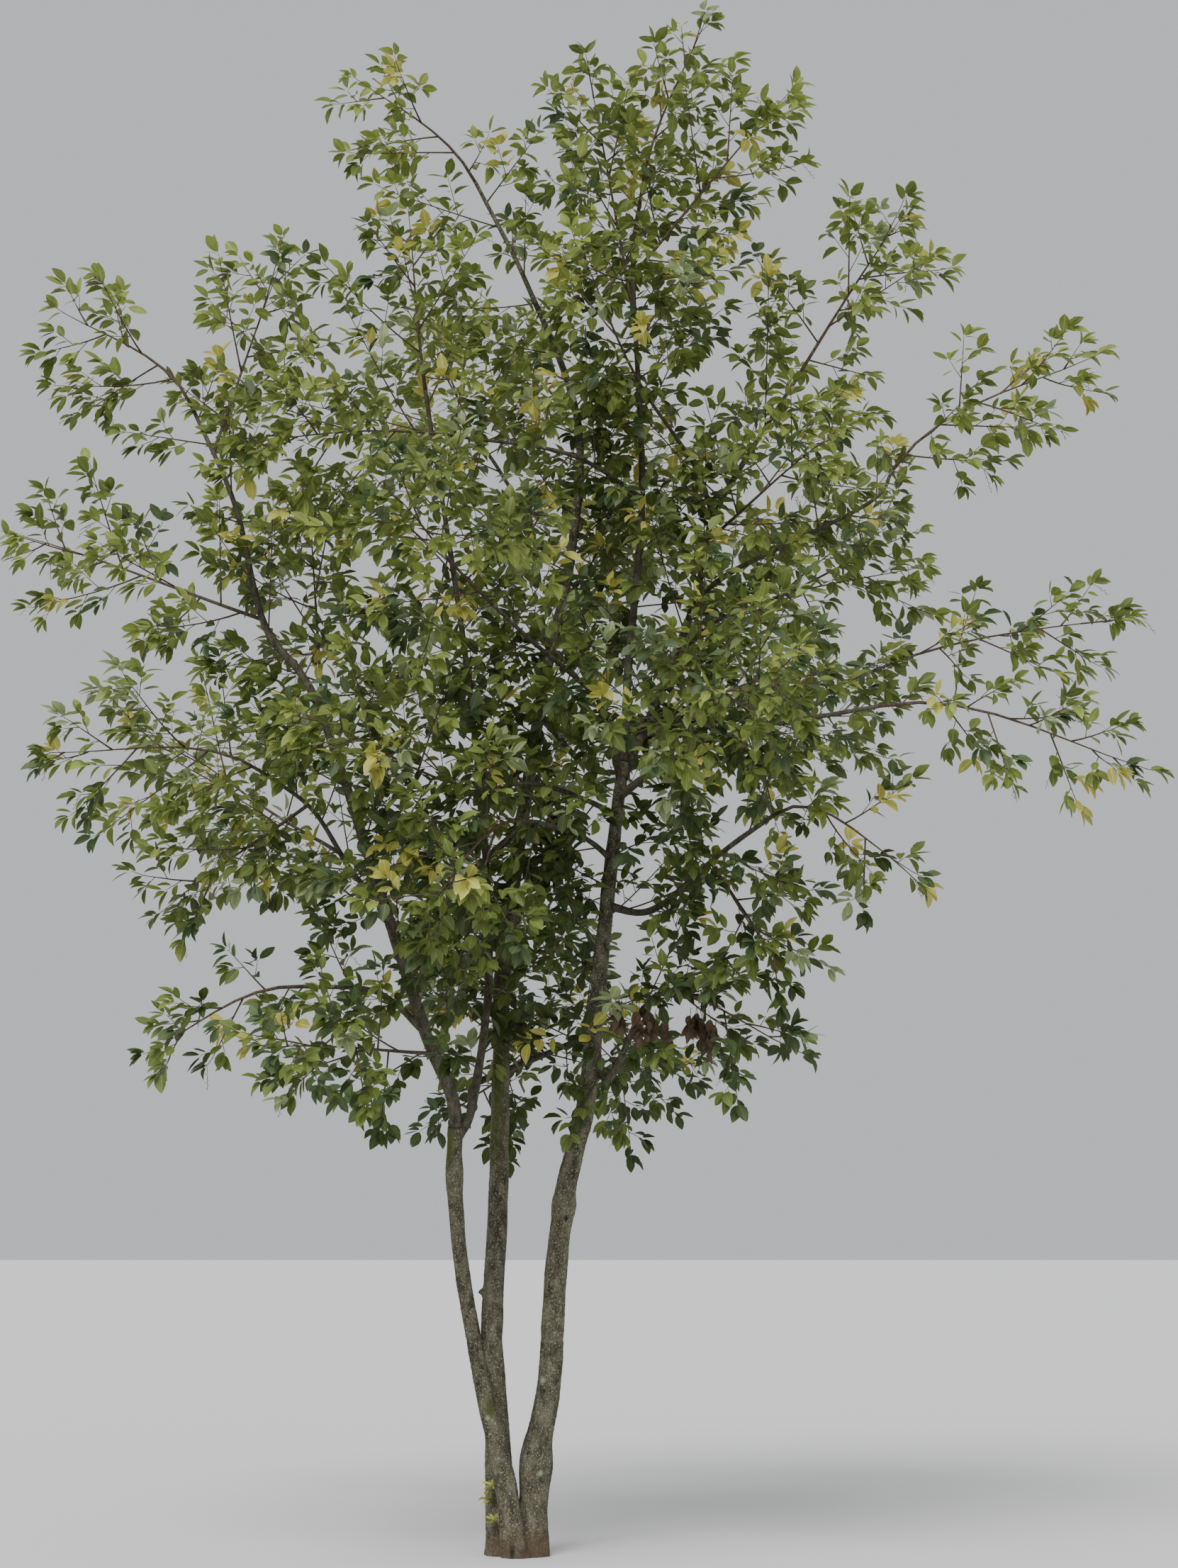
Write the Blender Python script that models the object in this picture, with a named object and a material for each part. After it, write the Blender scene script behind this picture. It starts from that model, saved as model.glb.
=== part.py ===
"""Bird cherry tree: three stems from one stool, their boughs and its masses of foliage.

Metres, +Z up. The tree stands on level ground at z = 0, and is seen from -Y.
A limb is a tapering tube round a smooth line. A mass of foliage is twigs and leaves
that branch by one rule from a stem, inside a space of its own round that stem.
"""
import math
import random

import bmesh
import bpy
from mathutils import Matrix, Vector
from mathutils.bvhtree import BVHTree
from mathutils.geometry import interpolate_bezier

# Clearances
JOINT_GAP = 0.0003        # between a limb and what it grows from
FOLIAGE_GAP = 0.004       # kept round each twig and leaf
SPACE_MARGIN = 0.02       # between the spaces of two masses, as a share of their size
MERGE = 0.00001           # edges shorter than this are dissolved

# Limbs
STEM_SIDES = 9
BOUGH_SIDES = 6
STEM_RING_STEP = 0.30
BOUGH_RING_STEP = 0.34
CURVE_STEPS = 24          # fine points between two given ones, before rings are laid
BELOW_GROUND = 0.04       # the stool is built this much too long, then cut flat
FLARE = 0.008             # how far the root flare stands out at the ground
FLARE_HEIGHT = 0.07
SHARP_ANGLE = math.radians(50)

# Foliage: a leaf here stands for a spray of real ones
LONGEST_LEAF = 0.54
SHORTEST_LEAF = 0.36
LEAF_PER_GIRTH = 0.58     # length of a leaf as a share of its mass's girth, in these limits
LEAF_WIDTH = 0.57         # shares of the leaf's own length
LEAF_WIDEST = 0.46
LEAF_THICKNESS = 0.022
LEAF_ROOT = 0.0035        # thickness at the root, which is sunk in the twig
END_SINK = 0.006          # how deep a leaf stands in the end of its twig
LEAF_SIZES = (1.0, 0.8, 0.62)  # shares of the full size that are tried in a corner
TWIG_RADII = (0.0065, 0.0060)
TWIG_SIDES = 3
SHORTEST_TWIG = 0.07
REACH_STEP = 0.02         # how finely the room in front of a twig is measured
STALK_RADII = (0.0115, 0.0085)  # the stem of a mass
STALK_SIDES = 4
STALK_RINGS = 4
SIDE_STALK = 0.7          # its radius as a share of a limb that it leaves sideways
TWIG_SPAN = (0.12, 0.92)  # shares of the stem between which its twigs stand
TWIG_LEAN = (62, 40)      # degrees off the stem, for its first twig and its last
LEAF_STEP = 0.37          # along a twig, from one pair of leaves to the next
LEAF_LEAN = math.radians(50)    # of a side leaf off its twig
LEAF_WANDER = 0.8         # how far leaves turn from facing out and up
GOLDEN_ANGLE = math.radians(137.5)

# name, ground to tip: the points it passes, joint height, radius at ground, joint and tip
STEMS = (
    ("left_stem", 0.95, (0.055, 0.034, 0.031), (
        (0.00, -0.065, -BELOW_GROUND), (-0.055, -0.06, 0.33), (-0.14, -0.045, 0.69),
        (-0.195, -0.035, 0.95), (-0.253, -0.11, 1.31), (-0.275, -0.20, 1.64),
        (-0.268, -0.25, 1.86))),
    ("middle_stem", 0.95, (0.068, 0.048, 0.0085), (
        (-0.069, 0.035, -BELOW_GROUND), (-0.087, 0.05, 0.44), (-0.115, 0.015, 0.95),
        (-0.092, 0.10, 1.52), (-0.083, 0.18, 2.15), (-0.065, 0.22, 2.70),
        (0.098, 0.28, 3.84), (0.225, 0.30, 4.47), (0.26, 0.28, 5.12),
        (0.03, 0.20, 5.74), (-0.213, 0.15, 6.22))),
    ("right_stem", 0.66, (0.071, 0.054, 0.026), (
        (0.059, 0.0, -BELOW_GROUND), (0.083, 0.0, 0.43), (0.135, 0.0, 0.72),
        (0.166, 0.0, 1.21), (0.215, 0.0, 1.61), (0.30, 0.0, 1.97),
        (0.35, -0.02, 2.44), (0.433, 0.0, 3.23), (0.469, 0.0, 3.495))),
)

# stem, height, how far it stands out, half height: burls and collars
SWELLINGS = (
    ("right_stem", 0.40, 0.012, 0.09),
    ("right_stem", 1.52, 0.009, 0.05),
    ("left_stem", 1.66, 0.008, 0.08),
    ("left_stem", 1.86, 0.004, 0.06),
)

# name, parent, share of the parent's length it leaves at (1.0 carries on from the tip),
# radius at foot and tip, the points it passes
BOUGHS = (
    ("left_bough", "left_stem", 1.0, (0.030, 0.0085), (
        (-0.41, -0.36, 2.30), (-0.58, -0.47, 2.83), (-0.87, -0.55, 3.69),
        (-1.10, -0.52, 4.03), (-1.24, -0.50, 4.57), (-1.44, -0.45, 5.02))),
    ("left_inner", "left_stem", 0.93, (0.020, 0.009), (
        (-0.19, -0.24, 1.99), (-0.13, -0.07, 2.68), (-0.22, -0.12, 3.80),
        (-0.42, -0.25, 5.14))),
    ("right_leader", "right_stem", 1.0, (0.021, 0.008), (
        (0.49, 0.02, 3.94), (0.555, 0.08, 4.74), (0.514, 0.03, 5.77), (0.55, 0.0, 6.11))),
    ("right_bough", "right_stem", 0.975, (0.022, 0.009), (
        (0.65, 0.08, 3.85), (0.80, 0.15, 4.27), (0.90, 0.22, 4.69), (1.29, 0.30, 5.35))),
    ("back_low", "left_inner", 0.05, (0.018, 0.011), (
        (-0.20, 0.08, 2.05), (-0.07, 0.32, 2.12), (0.28, 0.70, 2.29), (0.38, 0.95, 2.38))),
    ("right_low", "right_stem", 0.55, (0.021, 0.011), (
        (0.40, -0.05, 2.08), (0.55, -0.27, 2.38))),
    ("low_right", "right_stem", 0.77, (0.017, 0.010), (
        (0.60, -0.15, 2.82), (0.90, -0.30, 3.06), (1.12, -0.42, 3.21))),
    ("low_front", "right_stem", 0.845, (0.013, 0.009), (
        (0.285, -0.25, 3.13), (0.09, -0.60, 3.16))),
    ("centre_left", "right_stem", 0.915, (0.013, 0.008), (
        (0.28, -0.19, 3.31), (0.08, -0.40, 3.35), (-0.09, -0.60, 3.31))),
    ("long_right", "right_stem", 0.945, (0.017, 0.009), (
        (0.62, -0.02, 3.46), (0.95, -0.08, 3.61), (1.60, -0.20, 3.72))),
    ("front_left", "right_stem", 0.965, (0.014, 0.008), (
        (0.37, -0.20, 3.72), (0.05, -0.60, 3.96), (-0.10, -0.75, 4.08))),
    ("long_right_upper", "long_right", 0.70, (0.009, 0.007), (
        (1.42, -0.09, 3.82), (1.64, 0.02, 3.93))),
    ("far_right", "right_bough", 0.42, (0.013, 0.008), (
        (0.98, 0.10, 4.39), (1.56, -0.10, 4.65), (1.68, -0.15, 4.80))),
    ("right_mid", "right_bough", 0.28, (0.012, 0.008), (
        (0.90, 0.40, 4.20), (1.15, 0.75, 4.35))),
    ("upper_middle", "right_bough", 0.62, (0.011, 0.008), (
        (0.80, 0.09, 4.86), (0.60, -0.07, 5.12))),
    ("cross_left", "right_leader", 0.47, (0.011, 0.007), (
        (0.22, -0.20, 4.86), (-0.28, -0.48, 4.88))),
    ("left_low", "left_bough", 0.13, (0.014, 0.009), (
        (-0.61, -0.40, 2.44), (-0.92, -0.46, 2.46))),
    ("left_mid", "left_bough", 0.30, (0.013, 0.008), (
        (-0.71, -0.50, 2.95), (-0.875, -0.55, 3.21), (-1.07, -0.60, 3.36))),
    ("back_left", "middle_stem", 0.42, (0.017, 0.009), (
        (-0.45, 0.55, 2.95), (-1.01, 1.00, 3.26))),
    ("back_right", "middle_stem", 0.52, (0.016, 0.009), (
        (0.38, 0.75, 3.54), (0.86, 1.15, 3.76))),
    ("back_top", "middle_stem", 0.72, (0.012, 0.008), (
        (0.05, 0.58, 4.75), (-0.17, 0.85, 5.09))),
)

# name, the limb its stem starts from, share of that limb (1.0 is its tip), furthest tip
# of the mass, girth across that line, number of twigs
MASSES = (
    ("foliage_crown_top", "right_leader", 1.0, (0.87, 0.0, 7.0), 0.70, 7),
    ("foliage_top_left", "middle_stem", 1.0, (-0.80, 0.05, 6.72), 0.80, 6),
    ("foliage_top_right", "right_leader", 0.86, (1.26, -0.35, 6.54), 0.85, 7),
    ("foliage_top_middle", "right_leader", 0.78, (0.30, 0.45, 6.91), 0.95, 7),
    ("foliage_shoulder", "right_bough", 1.0, (1.83, 0.40, 6.20), 1.10, 8),
    ("foliage_far_right", "far_right", 1.0, (2.63, -0.35, 5.31), 0.75, 7),
    ("foliage_right_upper", "long_right_upper", 1.0, (2.88, 0.25, 4.21), 0.62, 7),
    ("foliage_long_right", "long_right", 1.0, (2.82, -0.45, 3.39), 0.62, 7),
    ("foliage_right_mid", "right_mid", 1.0, (1.95, 1.20, 4.80), 1.15, 7),
    ("foliage_right_core", "right_bough", 0.56, (1.40, -0.80, 4.85), 1.05, 7),
    ("foliage_low_right", "low_right", 1.0, (1.77, -0.65, 2.91), 0.90, 6),
    ("foliage_low_drop", "low_right", 0.62, (1.18, -0.80, 2.42), 0.85, 6),
    ("foliage_right_low", "right_low", 1.0, (1.29, -0.45, 2.16), 0.75, 6),
    ("foliage_back_low", "back_low", 1.0, (0.65, 1.70, 2.00), 1.00, 6),
    ("foliage_low_middle", "back_low", 0.55, (-0.42, 0.95, 1.88), 0.78, 5),
    ("foliage_left_low", "left_low", 1.0, (-1.63, -0.55, 2.15), 0.62, 6),
    ("foliage_front_low", "left_bough", 0.10, (-1.00, -1.65, 2.15), 0.85, 6),
    ("foliage_left_mid", "left_mid", 1.0, (-2.05, -0.75, 3.45), 1.10, 7),
    ("foliage_left_inner_low", "left_mid", 0.72, (-1.63, -0.15, 2.77), 0.85, 6),
    ("foliage_left_arm", "left_bough", 0.70, (-2.30, -0.30, 4.50), 1.00, 7),
    ("foliage_left_core", "left_bough", 0.55, (-1.00, 0.45, 4.85), 1.05, 6),
    ("foliage_left_rise", "left_bough", 1.0, (-2.08, -0.40, 5.50), 0.85, 7),
    ("foliage_left_top", "left_bough", 0.93, (-1.09, 0.10, 5.87), 0.85, 7),
    ("foliage_left_spire", "left_inner", 1.0, (-0.50, -0.35, 5.98), 1.00, 8),
    ("foliage_cross_left", "cross_left", 1.0, (-1.20, -1.05, 4.72), 1.15, 8),
    ("foliage_upper_middle", "upper_middle", 1.0, (0.22, -0.60, 5.80), 1.25, 8),
    ("foliage_front_left", "front_left", 1.0, (-0.50, -1.95, 4.36), 1.25, 8),
    ("foliage_centre_left", "centre_left", 1.0, (-0.90, -1.60, 3.51), 1.20, 8),
    ("foliage_low_front", "low_front", 1.0, (-0.40, -1.75, 2.62), 1.20, 8),
    ("foliage_front_right", "right_leader", 0.04, (1.15, -1.90, 3.65), 1.25, 8),
    ("foliage_low_back", "middle_stem", 0.30, (-0.25, 1.50, 2.75), 1.10, 7),
    ("foliage_back_left", "back_left", 1.0, (-1.85, 1.75, 3.85), 1.35, 8),
    ("foliage_back_middle", "middle_stem", 0.62, (0.55, 2.15, 5.00), 1.35, 8),
    ("foliage_back_right", "back_right", 1.0, (1.80, 2.05, 4.00), 1.30, 8),
    ("foliage_back_top", "back_top", 1.0, (-0.50, 1.65, 5.95), 1.30, 7),
)


def material(name, colour, roughness):
    """A plain material with a base colour and a roughness."""
    made = bpy.data.materials.new(name)
    made.use_nodes = True
    shader = made.node_tree.nodes["Principled BSDF"]
    shader.inputs["Base Color"].default_value = (*colour, 1.0)
    shader.inputs["Roughness"].default_value = roughness
    shader.inputs["Metallic"].default_value = 0.0
    made.diffuse_color = (*colour, 1.0)
    return made


def smooth_line(points, step, first_direction=None):
    """Points about a step apart on a smooth line through the given ones."""
    knots = [Vector(point) for point in points]
    slopes = []
    for index in range(len(knots)):
        before = knots[max(index - 1, 0)]
        after = knots[min(index + 1, len(knots) - 1)]
        slopes.append((after - before) / (2.0 if 0 < index < len(knots) - 1 else 1.0))
    if first_direction is not None:
        slopes[0] = first_direction * slopes[0].length
    fine = [knots[0]]
    for index in range(len(knots) - 1):
        start, end = knots[index], knots[index + 1]
        curve = interpolate_bezier(start, start + slopes[index] / 3,
                                   end - slopes[index + 1] / 3, end, CURVE_STEPS)
        fine += curve[1:]
    lengths = [0.0]
    for start, end in zip(fine, fine[1:]):
        lengths.append(lengths[-1] + (end - start).length)
    count = max(2, round(lengths[-1] / step) + 1)
    line = []
    at = 0
    for index in range(count):
        wanted = lengths[-1] * index / (count - 1)
        while at < len(fine) - 2 and lengths[at + 1] < wanted:
            at += 1
        share = (wanted - lengths[at]) / (lengths[at + 1] - lengths[at])
        line.append(fine[at].lerp(fine[at + 1], min(share, 1.0)))
    return line


def ring_frames(line, ends=(None, None)):
    """One frame for each point, its Z along the line, turning as little as can be.

    The ends are the directions that the first and the last ring face, where they are set.
    """
    directions = []
    for index in range(len(line)):
        before = line[max(index - 1, 0)]
        after = line[min(index + 1, len(line) - 1)]
        directions.append((after - before).normalized())
    first, last = ends
    directions[0] = first or directions[0]
    directions[-1] = last or directions[-1]
    turn = directions[0].to_track_quat("Z", "Y")
    frames = []
    for index, point in enumerate(line):
        if index:
            turn = directions[index - 1].rotation_difference(directions[index]) @ turn
        frames.append(Matrix.Translation(point) @ turn.to_matrix().to_4x4())
    return frames


def tube(line, radii, sides, ends=(None, None)):
    """A closed tapering tube round a line, one ring for each of its points."""
    frames = ring_frames(line, ends)
    bm = bmesh.new()
    made = bmesh.ops.create_circle(bm, cap_ends=True, segments=sides, radius=radii[0],
                                   matrix=frames[0])
    edges = list({edge for vert in made["verts"] for edge in vert.link_edges})
    for index in range(1, len(line)):
        grown = bmesh.ops.extrude_edge_only(bm, edges=edges)["geom"]
        ring = [item for item in grown if isinstance(item, bmesh.types.BMVert)]
        edges = [item for item in grown if isinstance(item, bmesh.types.BMEdge)
                 and all(vert in ring for vert in item.verts)]
        scale = Matrix.Scale(radii[index] / radii[index - 1], 4)
        move = frames[index] @ scale @ frames[index - 1].inverted()
        bmesh.ops.transform(bm, matrix=move, verts=ring)
    bmesh.ops.contextual_create(bm, geom=edges)
    bmesh.ops.recalc_face_normals(bm, faces=bm.faces)
    return bm


def make_object(name, bm, look=None):
    """An object in the scene from a bmesh, which is then freed."""
    mesh = bpy.data.meshes.new(name)
    bm.to_mesh(mesh)
    bm.free()
    made = bpy.data.objects.new(name, mesh)
    bpy.context.scene.collection.objects.link(made)
    if look is not None:
        mesh.materials.append(look)
    return made


def keep_largest_piece(bm):
    """Drop loose scraps and sealed hollows: all but the piece with the most faces."""
    left = set(bm.faces)
    pieces = []
    while left:
        piece = {left.pop()}
        edge_of_piece = list(piece)
        while edge_of_piece:
            face = edge_of_piece.pop()
            for edge in face.edges:
                for other in edge.link_faces:
                    if other in left:
                        left.remove(other)
                        piece.add(other)
                        edge_of_piece.append(other)
        pieces.append(piece)
    largest = max(pieces, key=len)
    scraps = [face for piece in pieces if piece is not largest for face in piece]
    bmesh.ops.delete(bm, geom=scraps, context="FACES")


def combine(base, others, operation):
    """Join the others to the base, or cut them from it, in one Boolean that is applied."""
    group = bpy.data.collections.new("combine")
    for other in others:
        bpy.context.scene.collection.objects.unlink(other)
        group.objects.link(other)
    bpy.context.scene.collection.children.link(group)
    boolean = base.modifiers.new("Combine", "BOOLEAN")
    boolean.operation = operation
    boolean.operand_type = "COLLECTION"
    boolean.collection = group
    for solver in ("EXACT", "MANIFOLD"):
        boolean.solver = solver
        evaluated = base.evaluated_get(bpy.context.evaluated_depsgraph_get())
        bm = bmesh.new()
        bm.from_mesh(evaluated.to_mesh())
        evaluated.to_mesh_clear()
        bmesh.ops.dissolve_degenerate(bm, edges=bm.edges, dist=MERGE)
        keep_largest_piece(bm)
        if all(edge.is_manifold for edge in bm.edges):
            break
    base.modifiers.clear()
    bm.to_mesh(base.data)
    bm.free()
    for other in others:
        mesh = other.data
        bpy.data.objects.remove(other)
        bpy.data.meshes.remove(mesh)
    bpy.data.collections.remove(group)


def taper(line, foot, tip):
    """A radius for each point of a line, falling evenly from its foot to its tip."""
    last = len(line) - 1
    return [foot + (tip - foot) * index / last for index in range(last + 1)]


class Limb:
    """A stem or bough: its axis line, the radius at each point, and its object."""

    def __init__(self, name, line, radii, sides, ends=(None, None)):
        self.name = name
        self.line = line
        self.radii = radii
        self.sides = sides
        self.ends = ends
        self.object = None

    def tube(self):
        """The limb's own closed tube."""
        return tube(self.line, self.radii, self.sides, self.ends)

    def swollen(self, gap):
        """The limb's tube made a gap larger on all sides."""
        round_gap = gap / math.cos(math.pi / self.sides)
        frames = ring_frames(self.line, self.ends)
        line = list(self.line)
        line[0] = line[0] - frames[0].col[2].to_3d() * gap
        line[-1] = line[-1] + frames[-1].col[2].to_3d() * gap
        radii = [radius + round_gap for radius in self.radii]
        return tube(line, radii, self.sides, self.ends)

    def at(self, share):
        """The point, the direction and the radius at a share of the limb's length."""
        place = share * (len(self.line) - 1)
        index = min(int(place), len(self.line) - 2)
        part = place - index
        point = self.line[index].lerp(self.line[index + 1], part)
        direction = (self.line[index + 1] - self.line[index]).normalized()
        radius = self.radii[index] + (self.radii[index + 1] - self.radii[index]) * part
        return point, direction, radius

    def end_direction(self):
        """The direction that the limb's last ring faces."""
        return (self.line[-1] - self.line[-2]).normalized()


class Placed:
    """Everything that stands in the tree so far, to test new twigs and leaves against."""

    def __init__(self):
        self.pieces = []

    def add(self, owner, bm):
        """Mark the place of a solid as taken."""
        self.pieces.append((owner, *self.shape(bm)))

    def touches(self, bm, ignored):
        """True where the bmesh touches a piece of any owner but the ignored one."""
        tree, low, high = self.shape(bm)
        for owner, other, other_low, other_high in self.pieces:
            if owner == ignored:
                continue
            apart = any(high[axis] < other_low[axis] or low[axis] > other_high[axis]
                        for axis in range(3))
            if not apart and tree.overlap(other):
                return True
        return False

    @staticmethod
    def shape(bm):
        """The faces of a solid to test against, and the corners of the box round it."""
        low = [min(vert.co[axis] for vert in bm.verts) for axis in range(3)]
        high = [max(vert.co[axis] for vert in bm.verts) for axis in range(3)]
        return BVHTree.FromBMesh(bm), low, high


def stem_radius(name, point, joint_height, radii, tip_height):
    """The radius of a stem at a point of its axis, with its flare and its swellings."""
    ground, joint, tip = radii
    height = point.z
    if height < joint_height:
        radius = ground + (joint - ground) * max(height, 0.0) / joint_height
    else:
        share = (height - joint_height) / (tip_height - joint_height)
        radius = joint + (tip - joint) * share
    radius += FLARE * math.exp(-max(height, 0.0) / FLARE_HEIGHT)
    for stem, middle, out, half_height in SWELLINGS:
        if stem == name:
            radius += out * math.exp(-((height - middle) / half_height) ** 2)
    return radius


def make_stems(trunk_look, stem_look):
    """The trunk, which is the feet of the stems grown together, and the stems above it."""
    limbs = {}
    feet = []
    for name, joint_height, radii, points in STEMS:
        line = smooth_line(points, STEM_RING_STEP / 2)
        below = [point for point in line if point.z < joint_height]
        above = [point for point in line if point.z >= joint_height]
        joint = below[-1].lerp(above[0], 0.5)
        direction = (above[0] - below[-1]).normalized()
        foot_line = below[:-1] + [joint]
        stem_line = [joint + direction * JOINT_GAP] + above[1::2]
        if stem_line[-1] != above[-1]:
            stem_line.append(above[-1])
        tip_height = points[-1][2]
        feet.append(Limb(name + "_foot", foot_line, [
            stem_radius(name, point, joint_height, radii, tip_height)
            for point in foot_line], STEM_SIDES, (Vector((0, 0, 1)), direction)))
        limbs[name] = Limb(name, stem_line, [
            stem_radius(name, point, joint_height, radii, tip_height)
            for point in stem_line], STEM_SIDES, (direction, None))
        limbs[name].object = make_object(name, limbs[name].tube(), stem_look)
    tubes = [make_object(foot.name, foot.tube()) for foot in feet]
    trunk = tubes[0]
    trunk.name = "trunk"
    combine(trunk, tubes[1:], "UNION")
    bm = bmesh.new()
    bm.from_mesh(trunk.data)
    bmesh.ops.bisect_plane(bm, geom=bm.verts[:] + bm.edges[:] + bm.faces[:],
                           plane_co=(0, 0, 0), plane_no=(0, 0, 1), clear_inner=True)
    open_edges = [edge for edge in bm.edges if edge.is_boundary]
    bmesh.ops.holes_fill(bm, edges=open_edges)
    bmesh.ops.recalc_face_normals(bm, faces=bm.faces)
    bm.to_mesh(trunk.data)
    bm.free()
    trunk.data.materials.append(trunk_look)
    return trunk, feet, limbs


def make_boughs(limbs, look):
    """Each bough, cut clear of its parent, or carrying on from its parent's tip."""
    for name, parent_name, share, (foot, tip), points in BOUGHS:
        parent = limbs[parent_name]
        start, _, _ = parent.at(share)
        if share == 1.0:
            direction = parent.end_direction()
            line = smooth_line([start + direction * JOINT_GAP, *points],
                               BOUGH_RING_STEP, direction)
            bough = Limb(name, line, taper(line, foot, tip), BOUGH_SIDES, (direction, None))
        else:
            line = smooth_line([start, *points], BOUGH_RING_STEP)
            bough = Limb(name, line, taper(line, foot, tip), BOUGH_SIDES)
        bough.object = make_object(name, bough.tube(), look)
        if share < 1.0:
            clear_of_limbs(bough.object, limbs.values())
        limbs[name] = bough


def clear_of_limbs(piece, limbs):
    """Cut a piece clear of each limb that its foot is sunk in."""
    bm = bmesh.new()
    bm.from_mesh(piece.data)
    tree = BVHTree.FromBMesh(bm)
    bm.free()
    cutters = []
    for limb in limbs:
        swollen = limb.swollen(JOINT_GAP)
        if tree.overlap(BVHTree.FromBMesh(swollen)):
            cutters.append(make_object(limb.name + "_cutter", swollen))
        else:
            swollen.free()
    combine(piece, cutters, "DIFFERENCE")


class Mass:
    """A mass of foliage: the stem it branches from and the space round it."""

    def __init__(self, name, limb, share, reach, girth, twig_count):
        self.name = name
        self.limb = limb
        self.on_tip = share == 1.0
        self.reach = Vector(reach)
        self.twig_count = twig_count
        foot, _, radius = limb.at(share)
        if self.on_tip:
            self.direction = limb.end_direction()
            foot = foot + self.direction * JOINT_GAP
        else:
            self.direction = (self.reach - foot).normalized()
            radius *= SIDE_STALK
        length = (self.reach - foot).length
        self.axis = (self.reach - foot) / length
        self.middle = foot.lerp(self.reach, 0.5)
        self.half_length = length / 2
        self.half_girth = girth / 2
        self.leaf_length = min(max(girth * LEAF_PER_GIRTH, SHORTEST_LEAF), LONGEST_LEAF)
        bend = interpolate_bezier(foot, foot + self.direction * length / 3,
                                  foot.lerp(self.reach, 2 / 3), self.reach,
                                  CURVE_STEPS * 3)
        end = max(index for index, point in enumerate(bend)
                  if (point - self.reach).length > self.leaf_length)
        self.line = [bend[round(index * end / (STALK_RINGS - 1))]
                     for index in range(STALK_RINGS)]
        self.radii = taper(self.line, min(radius, STALK_RADII[0]), STALK_RADII[1])

    def stalk(self):
        """The closed tube of the mass's stem."""
        return tube(self.line, self.radii, STALK_SIDES, (self.direction, None))

    def at(self, share):
        """The point and the direction at a share of the stem's length."""
        place = share * (len(self.line) - 1)
        index = min(int(place), len(self.line) - 2)
        start, end = self.line[index], self.line[index + 1]
        return start.lerp(end, place - index), (end - start).normalized()

    def depth(self, point):
        """How far out in the space a point lies: 0 at its middle and 1 on its skin."""
        offset = point - self.middle
        along = offset.dot(self.axis)
        across = (offset - self.axis * along).length
        return math.hypot(along / self.half_length, across / self.half_girth)

    def owns(self, point, masses):
        """True where the point lies in this mass's space and in no other more deeply."""
        depth = self.depth(point)
        return depth < 1.0 and all(other is self or other.depth(point) > depth + SPACE_MARGIN
                                   for other in masses)


def leaf(root, along, face, length, swell=0.0):
    """A leaf with eight faces: a blunt root, two side points, a tip and a low ridge."""
    side = along.cross(face).normalized()
    out = side.cross(along).normalized()
    half_width = length * LEAF_WIDTH / 2 + swell
    half_root = LEAF_ROOT / 2 + swell
    widest = root + along * length * LEAF_WIDEST
    corners = (
        root + out * half_root - along * swell,
        root - out * half_root - along * swell,
        widest + side * half_width + out * swell,
        widest - side * half_width + out * swell,
        widest - out * (length * LEAF_THICKNESS + swell),
        root + along * (length + swell),
    )
    bm = bmesh.new()
    for corner in corners:
        bmesh.ops.create_vert(bm, co=corner)
    bmesh.ops.convex_hull(bm, input=bm.verts)
    bmesh.ops.recalc_face_normals(bm, faces=bm.faces)
    return bm


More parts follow.
